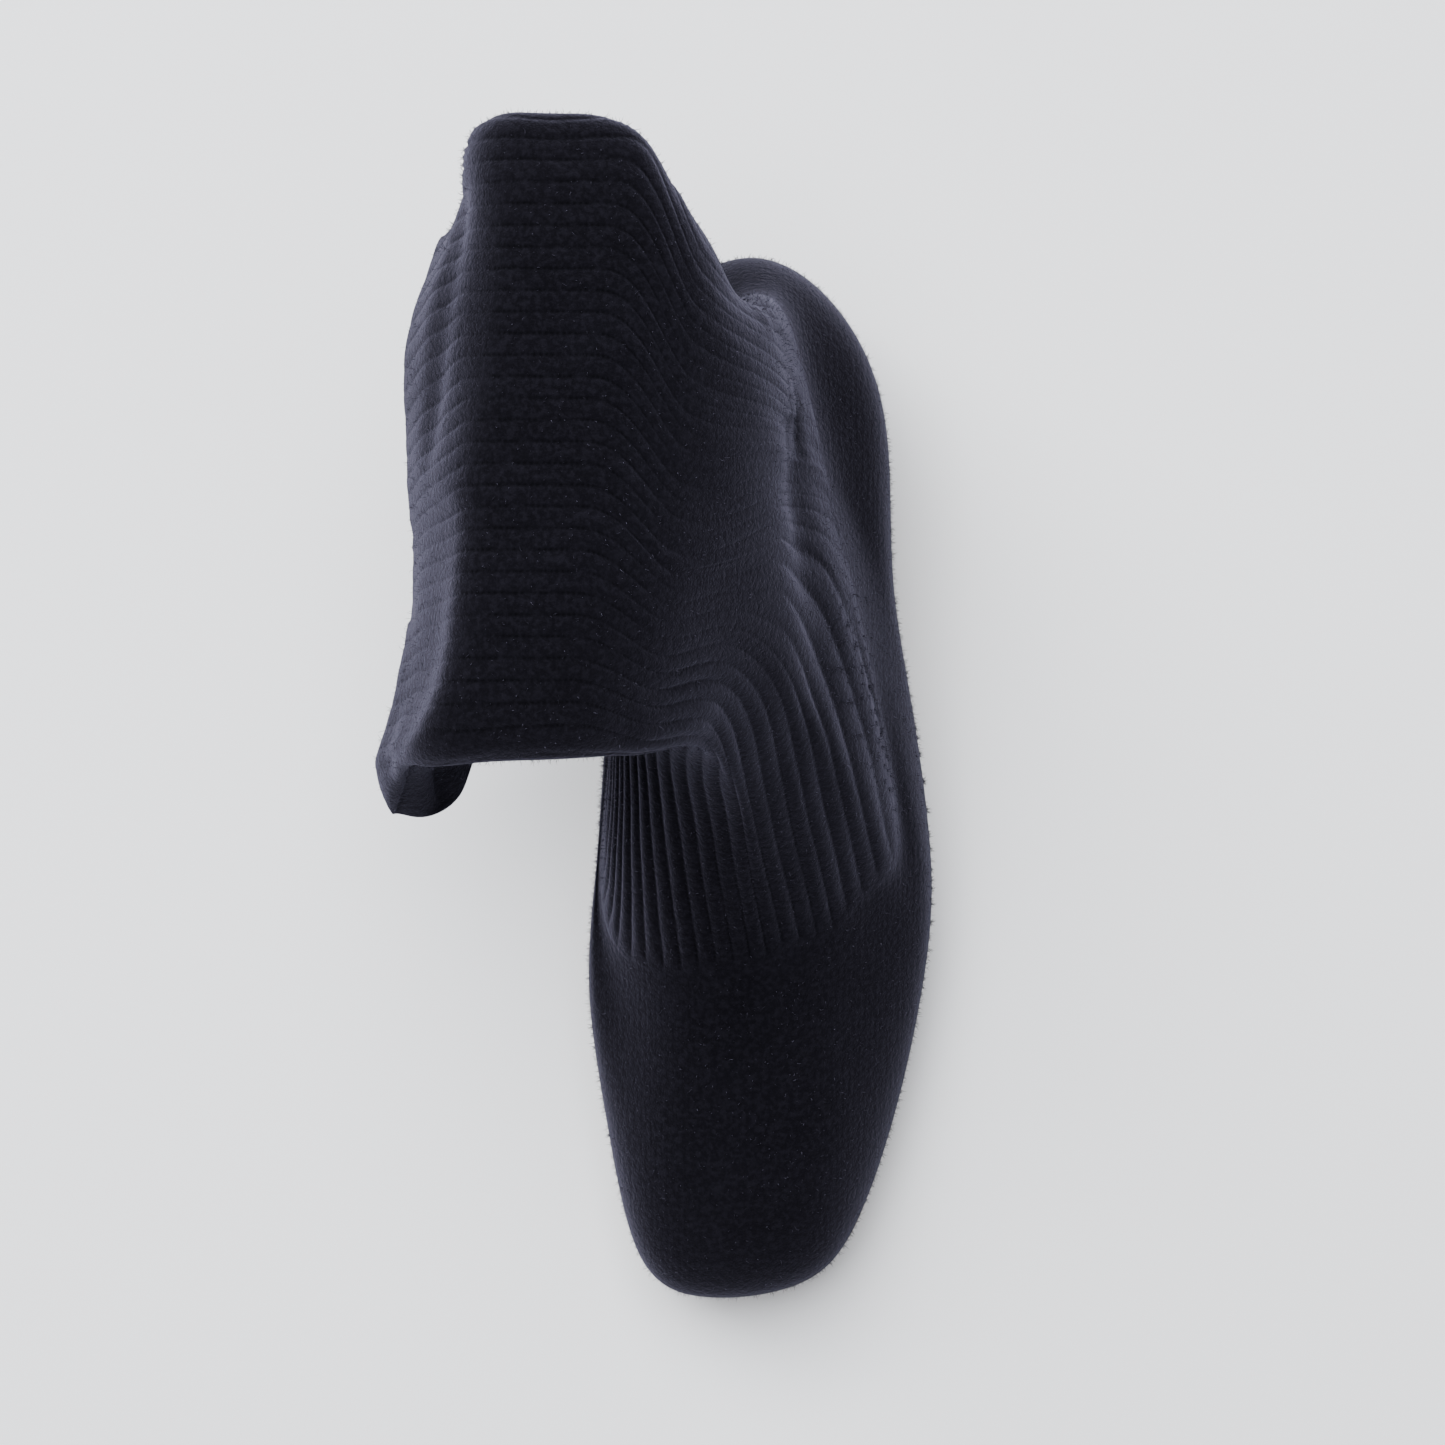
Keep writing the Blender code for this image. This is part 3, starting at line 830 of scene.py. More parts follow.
@dataclass(frozen=True)
class KnitFinish:
    """Felted wool knit: dark, with a nap that catches light along the surface."""

    name: str
    dark: Colour = (0.0012, 0.0011, 0.0018)
    light: Colour = (0.0072, 0.0068, 0.0104)
    # The next colour is painted shade, laid into the grooves between ribs.
    deep: Colour = (0.0005, 0.0005, 0.0008)
    roughness: float = 0.94
    specular: float = 0.03
    sheen: float = 0.17
    sheen_roughness: float = 0.45
    sheen_tint: Colour = (0.60, 0.58, 0.84)
    cloud_scale: float = 70.0
    cloud_share: float = 0.30
    tuft_scale: float = 780.0
    tuft_height: float = 0.00028
    tuft_range: Span = (0.40, 0.68)
    tuft_share: float = 0.45
    fibre_scale: float = 2100.0
    fibre_height: float = 0.00016
    fibre_range: Span = (0.45, 0.75)
    fibre_share: float = 0.30
    stitch: float = 0.0011
    wale: float = 0.00133
    wale_height: float = 0.000015
    wale_drift: float = 6.0
    wale_drift_scale: float = 160.0
    row_share: float = 0.3
    ribbed: bool = False
    groove_half: float = 0.17
    groove_bump: float = 0.00005
    # How strongly the painted shade darkens the grooves; the dash and bead values below break it up along
    # each groove.
    groove_shade_strength: float = 0.95
    dash: float = 0.0042
    dash_range: Span = (0.36, 0.58)
    dash_least: float = 0.30
    dash_shift: float = 3.7
    bead_shift: float = 2.4
    bead_share: float = 0.25

    def material(self) -> bpy.types.Material:
        """Returns the finish as a material."""
        recipe = Recipe(self.name)
        cloud = recipe.noise(recipe.stretched(EVEN), self.cloud_scale, 3.0)
        tuft = recipe.noise(recipe.stretched(EVEN), self.tuft_scale, 3.0, 0.55)
        fibre = recipe.noise(recipe.stretched(EVEN), self.fibre_scale, 3.0, 0.6)
        fleck = recipe.math("MULTIPLY", recipe.spread(tuft, *self.tuft_range), self.tuft_share)
        share = recipe.math("MULTIPLY_ADD", cloud, self.cloud_share, fleck)
        share = recipe.math("MULTIPLY_ADD", recipe.spread(fibre, *self.fibre_range), self.fibre_share, share)
        height = recipe.math("MULTIPLY", tuft, self.tuft_height)
        height = recipe.math("MULTIPLY_ADD", fibre, self.fibre_height, height)
        colour = recipe.mix(share, self.dark, self.light)
        if self.ribbed:
            height, colour = self.rib_detail(recipe, height, colour)
        else:
            height = self.wale_detail(recipe, height)
        recipe.put(recipe.shader, "Base Color", colour)
        recipe.bump(height)
        recipe.even(
            roughness=self.roughness,
            sheen_weight=self.sheen,
            sheen_roughness=self.sheen_roughness,
            specular_ior_level=self.specular,
        )
        recipe.shader.inputs["Sheen Tint"].default_value = (*self.sheen_tint, 1.0)
        return recipe.material

    def rib_detail(self, recipe: Recipe, height: Any, colour: Any) -> tuple[Any, Any]:
        """Adds painted shade in the grooves between ribs, broken into dashes and beaded at the stitch length,
        with a small bump.

        Args:
            recipe: The material in the making.
            height: The height so far, in metres.
            colour: The colour so far.

        Returns:
            The new height and colour.
        """
        places = recipe.add("SeparateXYZ", {0: recipe.add("UVMap", uv_map=KNIT_MAP).outputs[0]})
        rib, length = places.outputs[0], places.outputs[1]
        # Strength of the painted groove shade, stored on the shaft's points.
        strength = recipe.add("Attribute", attribute_name=GROOVE_SHADE_MARK).outputs["Fac"]
        away = recipe.math("ABSOLUTE", recipe.math("SUBTRACT", recipe.math("FRACT", rib), 0.5))
        groove = recipe.spread(away, 0.0, self.groove_half, 1.0, 0.0)
        number = recipe.math("FLOOR", rib)
        spot = recipe.add("CombineXYZ", {
            0: recipe.math("MULTIPLY", number, self.dash_shift),
            1: recipe.math("MULTIPLY", length, 1.0 / self.dash),
        })
        dash = recipe.spread(recipe.noise(spot.outputs[0], 1.0, 1.0), *self.dash_range, self.dash_least, 1.0)
        turn = recipe.math("MULTIPLY", length, 2.0 * pi / self.stitch)
        wave = recipe.math("SINE", recipe.math("MULTIPLY_ADD", number, self.bead_shift, turn))
        bead = recipe.math("MULTIPLY_ADD", wave, self.bead_share, 1.0 - self.bead_share)
        dashed = recipe.math("MULTIPLY", groove, dash)
        line = recipe.math("MULTIPLY", dashed, recipe.math("MULTIPLY", strength, bead))
        height = recipe.math("MULTIPLY_ADD", line, -self.groove_bump, height)
        # Paints shade into the grooves by mixing the colour towards the groove shade colour.
        return height, recipe.mix(recipe.math("MULTIPLY", line, self.groove_shade_strength), colour, self.deep)

    def wale_detail(self, recipe: Recipe, height: Any) -> Any:
        """Adds the fine lines of plain knit along the foot.

        Args:
            recipe: The material in the making.
            height: The height so far, in metres.

        Returns:
            The new height.
        """
        place = recipe.add("SeparateXYZ", {0: recipe.add("TexCoord").outputs["Object"]})
        across, along = place.outputs[0], place.outputs[1]
        drift = recipe.noise(recipe.stretched((1.0, 0.4, 1.0)), self.wale_drift_scale, 2.0)
        drift = recipe.math("MULTIPLY", drift, self.wale_drift)
        wave = recipe.math("MULTIPLY_ADD", across, 2.0 * pi / self.wale, drift)
        rows = recipe.math("SINE", recipe.math("MULTIPLY", along, 2.0 * pi / self.stitch))
        rows = recipe.math("MULTIPLY_ADD", rows, self.row_share, 1.0 - self.row_share)
        line = recipe.math("MULTIPLY", recipe.math("SINE", wave), rows)
        return recipe.math("MULTIPLY_ADD", line, self.wale_height, height)


@dataclass(frozen=True)
class LeatherFinish:
    """Leather, bare or stained, with a fine grain or the layers of its cut edge."""

    name: str
    colour: Colour
    worn: Colour
    roughness: float = 0.6
    roughness_spread: float = 0.1
    layers: float = 0.0
    layer_line: float = 0.80
    layer_dark: float = 0.6
    patch_scale: float = 55.0
    patch_share: float = 0.6
    grain: float = 1260.0
    grain_share: float = 0.4
    grain_height: float = 0.00008

    def material(self) -> bpy.types.Material:
        """Returns the finish as a material."""
        recipe = Recipe(self.name)
        patch = recipe.noise(recipe.stretched(EVEN), self.patch_scale, 4.0)
        pores = recipe.noise(recipe.stretched(EVEN), self.grain, 3.0, 0.6)
        pored = recipe.math("MULTIPLY", pores, self.grain_share)
        share = recipe.math("MULTIPLY_ADD", patch, self.patch_share, pored)
        height = recipe.math("MULTIPLY", pores, self.grain_height)
        if self.layers:
            place = recipe.add("SeparateXYZ", {0: recipe.add("TexCoord").outputs["Object"]})
            wave = recipe.math("SINE", recipe.math("MULTIPLY", place.outputs[2], 2.0 * pi / self.layers))
            line = recipe.spread(wave, self.layer_line, 1.0)
            share = recipe.math("MULTIPLY_ADD", line, -self.layer_dark, share, clamp=True)
            height = recipe.math("MULTIPLY_ADD", line, -self.grain_height, height)
        smooth, rough = self.roughness - self.roughness_spread, self.roughness + self.roughness_spread
        recipe.put(recipe.shader, "Base Color", recipe.mix(share, self.colour, self.worn))
        recipe.put(recipe.shader, "Roughness", recipe.spread(patch, 0.2, 0.8, smooth, rough))
        recipe.bump(height)
        return recipe.material


@dataclass(frozen=True)
class RubberFinish:
    """Moulded black rubber with a fine pebble."""

    name: str
    colour: Colour = (0.018, 0.018, 0.019)
    worn: Colour = (0.045, 0.044, 0.043)
    roughness: float = 0.72
    pebble_scale: float = 1400.0
    pebble_height: float = 0.00006
    dust_scale: float = 120.0
    dust_range: Span = (0.35, 0.75)

    def material(self) -> bpy.types.Material:
        """Returns the finish as a material."""
        recipe = Recipe(self.name)
        pebble = recipe.add("TexVoronoi", {"Vector": recipe.stretched(EVEN), "Scale": self.pebble_scale})
        dust = recipe.noise(recipe.stretched(EVEN), self.dust_scale, 4.0)
        share = recipe.spread(dust, *self.dust_range)
        recipe.put(recipe.shader, "Base Color", recipe.mix(share, self.colour, self.worn))
        recipe.bump(recipe.math("MULTIPLY", pebble.outputs["Distance"], self.pebble_height))
        recipe.even(roughness=self.roughness)
        return recipe.material


@dataclass
class Upper:
    """The plain knit foot, from the sole to the seam."""

    form: BootForm
    ribs: Rows
    low_rows: int = 14
    high_rows: int = 62
    first_row: float = 0.006
    end_rows: int = 4
    least_row: float = 0.02
    inner_rows: int = 18
    finish: KnitFinish = field(default_factory=lambda: KnitFinish("felted knit"))
    face: Rows = field(init=False, repr=False)
    normals: Rows = field(init=False, repr=False)

    def build(self) -> bpy.types.Object:
        """Returns the dressed foot."""
        low = np.linspace(0.0, 1.0, self.low_rows + 1)
        high = 1.0 + rows_apart(self.first_row, self.high_rows, self.end_rows)
        high = high[(high - 1.0 > self.least_row) | (high == 1.0)]
        shares = np.concatenate([low[:-1], high])
        self.face = self.form.foot_rings(self.ribs, shares)
        self.normals = grid_normals(self.face)
        length = lengths_along(self.face).mean(axis=1)
        inside = np.linspace(len(shares) - 1, 0, self.inner_rows).round().astype(int)
        inner = (self.face - self.normals * self.form.wall)[inside]
        rows = np.concatenate([self.face, inner])
        along = np.concatenate([length, length[inside]])
        made = Workshop.tube("felted_foot", rows, self.ribs, along, closed=True)
        Workshop.activate(made)
        bpy.ops.object.shade_smooth_by_angle(angle=RIM_ANGLE)
        Workshop.dress(made, self.finish.material(), Slot.FELT, ["upper"])
        return made


@dataclass
class Shaft:
    """The rib knit shaft, from the seam over to the open collar.

    A span holds where a change starts and over how much it spreads. Fields named after shares count from the
    seam (0) to the collar (1), fields named after ribs from the back of the heel.
    """

    form: BootForm
    rows: int = 108
    first_row: float = 0.0018
    end_rows: int = 3
    inner_rows: int = 24
    rim_rows: int = 5
    rim_reach: float = 0.8
    column_places: tuple[float, ...] = (0.0, 0.16, 0.29, 0.38, 0.445, 0.5, 0.555, 0.62, 0.71, 0.84)
    lines_a_rib: int = 12
    rib_pitch: float = 0.00465
    rib_front: float = -0.0902
    front_rib: float = 32.0
    front_spare: float = 0.2
    wrap: float = 52.0
    back_rib: float = 2.5
    least_step: float = 0.30
    most_step: float = 2.2
    flat_shares: Span = (0.47, 0.15)
    under_ribs: Span = (-11.0, 11.0)
    lobe_ribs: Span = (30.0, 2.3)
    slant_edge: float = -0.064
    slant_front: float = 0.14
    slant_back: float = 0.56
    slant_places: Span = (-0.0564, 0.0437)
    instep_place: Span = (-0.0150, -0.1100)
    instep_lean: float = 0.20
    instep_most: float = 3.6
    instep_pitch: float = 0.0043
    instep_shares: Span = (0.24, 0.24)
    instep_outer: Span = (5.0, 13.0)
    instep_inner: Span = (37.0, 11.0)
    groove_depth: float = 0.00022
    groove_crown: float = 0.00006
    groove_width: float = 0.12
    round_width: float = 0.19
    round_crown: float = 0.0002
    throat_rib: float = 31.0
    throat_ribs: Span = (7.0, 4.0)
    throat_start: float = 0.0060
    side_start: float = 0.0140
    edge_shares: Span = (0.975, 0.02)
    edge_keep: float = 0.25
    uneven_height: float = 0.00022
    uneven_start: float = 0.0030
    crowded: float = 0.0016
    collar_shares: Span = (0.80, 0.12)
    corner_width: float = 3.6
    front_width: float = 2.5
    fold_points: int = 25
    fold_reach: float = 3.0
    fold_facing: Span = (-0.1, 0.6)
    fold_start: float = 0.0090
    fold_through: float = 0.7
    finish: KnitFinish = field(default_factory=lambda: KnitFinish("rib knit", sheen=0.22, ribbed=True))
    face: Rows = field(init=False, repr=False)
    normals: Rows = field(init=False, repr=False)

    def build(self) -> bpy.types.Object:
        """Returns the dressed shaft."""
        ribs = self.columns()
        shares = rows_apart(self.first_row, self.rows, self.end_rows)
        plain = self.knit_grid(ribs, shares)
        self.normals = unit(smooth_rows(grid_normals(plain), 2))
        smooth = plain + unit(self.normals * LEVEL) * self.edge_push(ribs, shares)[..., None]
        length = lengths_along(smooth)
        folds = self.fold_heights(smooth, self.normals) * ease(length / self.fold_start)
        depth, crown = self.zone_sizes(ribs, shares, length)
        half = len(self.column_places) // 2
        apart = np.linalg.norm(np.roll(smooth, -half, axis=1) - np.roll(smooth, half, axis=1), axis=-1)
        room = fade(apart, self.crowded, self.crowded)
        depth, crown = depth * room, crown * room
        relief = self.rib_relief(ribs, length, depth, crown)
        self.face = smooth + self.normals * (folds + relief)[..., None]
        inside = np.linspace(len(shares) - 1, 0, self.inner_rows).round().astype(int)
        inner = smooth - self.normals * (self.form.shaft_wall - folds * self.fold_through)[..., None]
        rim = self.collar_rim(self.face, inner)
        rows = np.concatenate([self.face, rim, inner[inside]])
        mean = length.mean(axis=1)
        along = np.concatenate([mean, np.full(len(rim), mean[-1]), mean[inside]])
        made = Workshop.tube("ribbed_shaft", rows, ribs, along, closed=True)
        # Keeps the groove depth as a point attribute that sets how strong the painted groove shade is.
        self.mark_groove_shade(made, depth, len(rows))
        Workshop.activate(made)
        bpy.ops.object.shade_smooth_by_angle(angle=RIM_ANGLE)
        Workshop.dress(made, self.finish.material(), Slot.RIBBED, ["shaft"])
        return made

    def columns(self) -> Rows:
        """Returns the rib number of each column, closer together at the grooves."""
        return (np.arange(RIBS)[:, None] + np.array(self.column_places)).reshape(-1)

    def even_lines(self) -> Rows:
        """Returns the numbers of the even lines, from under the shaft's front round to the same place."""
        return np.linspace(self.wrap - RIBS, self.wrap, RIBS * self.lines_a_rib + 1)

    def seam_lines(self) -> Rows:
        """Returns where each column starts on the seam, as the number of its even line."""
        lines = self.even_lines()
        start = np.zeros(1)
        numbers = self.rib_numbers(self.form.shaft_rings(lines, start), lines, start)
        ribs = self.columns()
        behind = np.where(ribs > self.wrap, RIBS, 0.0)
        return np.interp(ribs - behind, numbers[0], lines) + behind

    def knit_grid(self, ribs: Rows, shares: Rows) -> Rows:
        """Works out the wall with its columns laid along the knit's ribs.

        Args:
            ribs: The rib number of each column.
            shares: The share of each row.

        Returns:
            A grid of points.
        """
        lines = self.even_lines()
        grid = self.form.shaft_rings(lines, shares)
        numbers = self.rib_numbers(grid, lines, shares)
        rows = []
        for number, points in zip(numbers, grid):
            at = np.interp(np.where(ribs > self.wrap, ribs - RIBS, ribs), number, lines)
            rows.append(np.stack([np.interp(at, lines, points[:, axis]) for axis in range(3)], axis=-1))
        return np.array(rows)

    def rib_numbers(self, grid: Rows, lines: Rows, shares: Rows) -> Rows:
        """Works out which rib of the knit passes each point: level with the foot's width on the top layer.

        Args:
            grid: The points of the even lines.
            lines: The number of each even line.
            shares: The share of each row.

        Returns:
            A rib number for each point, rising along each row.
        """
        x, y = grid[..., 0], grid[..., 1]
        slant = self.slant_front + self.slant_back * fade(y, *self.slant_places)
        level = self.front_rib - (y - self.rib_front) / self.rib_pitch
        level = level - slant * np.maximum(0.0, self.slant_edge - x) / self.rib_pitch
        level = np.minimum(level, self.front_rib + self.front_spare)
        edge = int(np.argmin(np.abs(lines)))
        shift = np.where(lines < 0.0, level[:, edge : edge + 1], level - lines)
        weight = fade(shares, *self.flat_shares)[:, None] * fade(lines, *self.under_ribs)
        weight = weight * (1.0 - fade(lines, *self.lobe_ribs))
        number = lines + shift * weight + self.instep_shift(x, y, lines, shares)
        step = lines[1] - lines[0]
        rise = np.clip(np.diff(number, axis=1), self.least_step * step, self.most_step * step)
        spare = rise - self.least_step * step
        lack = RIBS - rise.sum(axis=1, keepdims=True)
        rise = rise + lack * spare / spare.sum(axis=1, keepdims=True)
        return lines[0] + np.concatenate([np.zeros((len(rise), 1)), np.cumsum(rise, axis=1)], axis=1)

    def instep_shift(self, x: Rows, y: Rows, lines: Rows, shares: Rows) -> Rows:
        """Works out how far the ribs over the instep are moved, so that they run down it side by side.

        Args:
            x: Where each point lies across the boot.
            y: Where it lies along the boot.
            lines: The number of each even line.
            shares: The share of each row.

        Returns:
            A shift in ribs for each point.
        """
        across = x - self.instep_place[0] + self.instep_lean * (y - self.instep_place[1])
        number = self.front_rib - across / self.instep_pitch
        weight = (1.0 - fade(shares, *self.instep_shares))[:, None] * fade(lines, *self.instep_outer)
        weight = weight * (1.0 - fade(lines, *self.instep_inner))
        return self.instep_most * np.tanh((number - lines) / self.instep_most) * weight

    def zone_sizes(self, ribs: Rows, shares: Rows, length: Rows) -> tuple[Rows, Rows]:
        """Works out how deep the grooves and how round the ribs are at each point.

        Args:
            ribs: The rib number of each column.
            shares: The share of each row.
            length: How far along the wall each point lies.

        Returns:
            The groove's depth and the rib's crown.
        """
        depth = np.full(length.shape, self.groove_depth)
        crown = np.full(length.shape, self.groove_crown)
        for zone in ZONES:
            middle, half = sum(zone.ribs) / 2.0, (zone.ribs[1] - zone.ribs[0]) / 2.0
            round_boot = ease((half - ribs_apart(ribs, middle)) / zone.soft[0] + 0.5)[None, :]
            above = ease((shares - zone.shares[0]) / zone.soft[1] + 0.5)
            below = ease((zone.shares[1] - shares) / zone.soft[1] + 0.5)
            inside = round_boot * (above * below)[:, None]
            depth = blend(depth, zone.groove, inside)
            crown = blend(crown, zone.crown, inside)
        throat = 1.0 - fade(ribs_apart(ribs, self.throat_rib), *self.throat_ribs)[None, :]
        start = ease(length / blend(self.side_start, self.throat_start, throat))
        edge = blend(1.0, self.edge_keep, fade(shares, *self.edge_shares))[:, None]
        return depth * start * edge, crown * start * edge

    def rib_relief(self, ribs: Rows, length: Rows, depth: Rows, crown: Rows) -> Rows:
        """Works out the height of the ribs and grooves.

        Args:
            ribs: The rib number of each column.
            length: How far along the wall each point lies.
            depth: The groove's depth.
            crown: The rib's crown.

        Returns:
            A height for each point of the grid.
        """
        away = (ribs - 0.5) - np.round(ribs - 0.5)
        width = blend(self.groove_width, self.round_width, np.clip(crown / self.round_crown, 0.0, 1.0))
        groove = np.exp(-((away / width) ** 2))
        wide = np.cos(pi * away) ** 2
        uneven = sum(
            wave.share * np.sin(ribs * wave.rib + length * wave.run)
            * np.sin(ribs * wave.second_rib - length * wave.second_run + wave.shift)
            for wave in WAVES
        )
        start = ease(length / self.uneven_start)
        return -depth * groove - crown * wide + self.uneven_height * uneven * start

    def edge_push(self, ribs: Rows, shares: Rows) -> Rows:
        """Works out how far the collar's edge and the corners lie out of their sections.

        Args:
            ribs: The rib number of each column.
            shares: The share of each row.

        Returns:
            A level distance for each point of the grid.
        """
        collar = read_wave(COLLAR_WAVE, ribs % RIBS, RIBS)
        corner = read_wave(CORNER_WAVE, shares)[:, None]
        front = read_wave(FRONT_WAVE, shares)[:, None]
        middle = self.back_rib * fade(shares, *self.flat_shares)[:, None]
        near_back = np.exp(-((ribs_apart(ribs[None, :], middle) / self.corner_width) ** 2))
        near_front = np.exp(-(((ribs - self.front_rib) / self.front_width) ** 2))[None, :]
        return fade(shares, *self.collar_shares)[:, None] * collar + front * near_front + corner * near_back

    def fold_heights(self, grid: Rows, normals: Rows) -> Rows:
        """Works out how far the creases push the wall out or in.

        Args:
            grid: The smooth wall.
            normals: Its outward directions.

        Returns:
            A height for each point of the grid.
        """
        total = np.zeros(grid.shape[:2])
        at = np.linspace(0.0, 1.0, self.fold_points)
        for fold in SHAFT_FOLDS:
            line = spline([0.0, 0.5, 1.0], [fold.start, fold.middle, fold.end], at)
            points = np.array([
                self.form.shaft_rings(np.array([rib]), np.array([share]))[0, 0] for rib, share in line
            ])
            nearest = np.full(grid.shape[:2], 1.0)
            place = np.zeros(grid.shape[:2])
            for share, point in zip(at, points):
                apart = np.linalg.norm(grid - point, axis=-1)
                closer = apart < nearest
                nearest = np.where(closer, apart, nearest)
                place = np.where(closer, share, place)
            centre = points[self.fold_points // 2]
            middle = np.unravel_index(np.argmin(np.linalg.norm(grid - centre, axis=-1)), nearest.shape)
            facing = fade(normals @ normals[middle], *self.fold_facing)
            strength = np.sqrt(np.sin(pi * place).clip(0.0))
            strength = np.where(nearest < fold.width * self.fold_reach, strength, 0.0)
            profile = np.exp(-((nearest / fold.width) ** 2))
            total += fold.kind.value * fold.depth * profile * facing * strength
        return smooth_rows(total, 2)

    def mark_groove_shade(self, made: bpy.types.Object, depth: Rows, count: int) -> None:
        """Stores how strong the painted shade in the grooves is at each point, for the finish.

        Args:
            made: The shaft.
            depth: The grooves' depth on the outer face.
            count: How many rings the mesh has.
        """
        values = np.zeros((count, depth.shape[1]), np.float32)
        values[: len(depth)] = np.clip(depth / self.groove_depth, 0.0, 1.0)
        mark = made.data.attributes.new(GROOVE_SHADE_MARK, "FLOAT", "POINT")
        mark.data.foreach_set("value", values.reshape(-1))

    def collar_rim(self, face: Rows, inner: Rows) -> Rows:
        """Works out rings that turn the collar's edge over in a soft half round.

        Args:
            face: The outer face.
            inner: The inner face.

        Returns:
            The rings, from the outer face to the inner one.
        """
        top, under = face[-1], inner[-1]
        out = unit(face[-1] - face[-4])
        turn = np.linspace(0.0, pi, self.rim_rows + 2)[1:-1]
        reach = np.linalg.norm(top - under, axis=-1, keepdims=True) * 0.5 * self.rim_reach
        return np.array([
            blend(top, under, 0.5 - 0.5 * np.cos(angle)) + out * reach * np.sin(angle) for angle in turn
        ])


@dataclass
class Nap:
    """The short loose fibres of the felt, each a thin pointed three-sided hair.

    Shares named stray, drift and bend say how far a hair's direction, foot and tip stray.
    """

    seed: int = 7
    root: float = 0.00016
    thickness: float = 0.000050
    taper: float = 0.8
    short: float = 0.0005
    long: float = 0.0019
    short_share: float = 2.5
    stray: float = 0.75
    drift: float = 0.0003
    bend: float = 0.55
    bend_out: float = 0.2
    least_rise: float = 0.25
    steep_share: float = 8.0
    bare_rows: int = 2
    finish: KnitFinish = field(
        default_factory=lambda: KnitFinish(
            "loose fibres", dark=(0.0045, 0.0044, 0.0064), light=(0.016, 0.015, 0.022), sheen=0.45
        )
    )

    def build(self, name: str, face: Rows, normals: Rows, count: int, slot: Slot) -> bpy.types.Object:
        """Scatters fibres over a wall, closer together where it turns away from above.

        Args:
            name: The piece's name.
            face: The wall's grid of points.
            normals: Its outward directions.
            count: How many fibres there are.
            slot: The material slot.

        Returns:
            The new piece.
        """
        chance = np.random.default_rng(self.seed)
        across = np.linalg.norm(np.roll(face, -1, axis=1) - face, axis=-1)
        along = np.linalg.norm(np.gradient(face, axis=0), axis=-1)
        steep = 1.0 - np.abs(normals[..., 2])
        weight = (across * along * (1.0 + self.steep_share * steep**4)).reshape(-1)
        bare = face.shape[1] * self.bare_rows
        weight[:bare] = 0.0
        weight[-bare:] = 0.0
        picked = chance.choice(len(weight), count, p=weight / weight.sum())
        start, out = face.reshape(-1, 3)[picked], normals.reshape(-1, 3)[picked]
        way = unit(out + chance.normal(0.0, self.stray, (count, 3)))
        rise = np.sum(way * out, axis=1)
        way = unit(way + out * np.maximum(0.0, self.least_rise - rise)[:, None] * 2.0)
        start = start + np.cross(out, chance.normal(0.0, self.drift, (count, 3)))
        tip = unit(way + chance.normal(0.0, self.bend, (count, 3)) + out * self.bend_out)
        size = blend(self.short, self.long, chance.random(count) ** self.short_share)[:, None]
        side = unit(np.cross(way, chance.normal(0.0, 1.0, (count, 3))))
        other = np.cross(way, side)
        middle = start + way * size * 0.5
        rings = []
        for at, radius in ((start - out * self.root, self.thickness), (middle, self.thickness * self.taper)):
            for angle in np.arange(3) * 2.0 * pi / 3.0:
                rings.append(at + (side * np.cos(angle) + other * np.sin(angle)) * radius)
        rings.append(middle + tip * size * 0.5)
        mesh = bpy.data.meshes.new(name)
        mesh.from_pydata(np.stack(rings, axis=1).reshape(-1, 3).tolist(), [], self.hair_faces(count))
        made = bpy.data.objects.new(name, mesh)
        bpy.context.scene.collection.objects.link(made)
        Workshop.dress(made, self.finish.material(), slot, [])
        return made

    @staticmethod
    def hair_faces(count: int) -> list[list[int]]:
        """Returns the faces of all hairs, each with a foot of three points, a middle of three and a tip."""
        hair = ((0, 2, 1), (0, 1, 4, 3), (1, 2, 5, 4), (2, 0, 3, 5), (3, 4, 6), (4, 5, 6), (5, 3, 6))
        return [[first + corner for corner in face] for first in range(0, count * 7, 7) for face in hair]


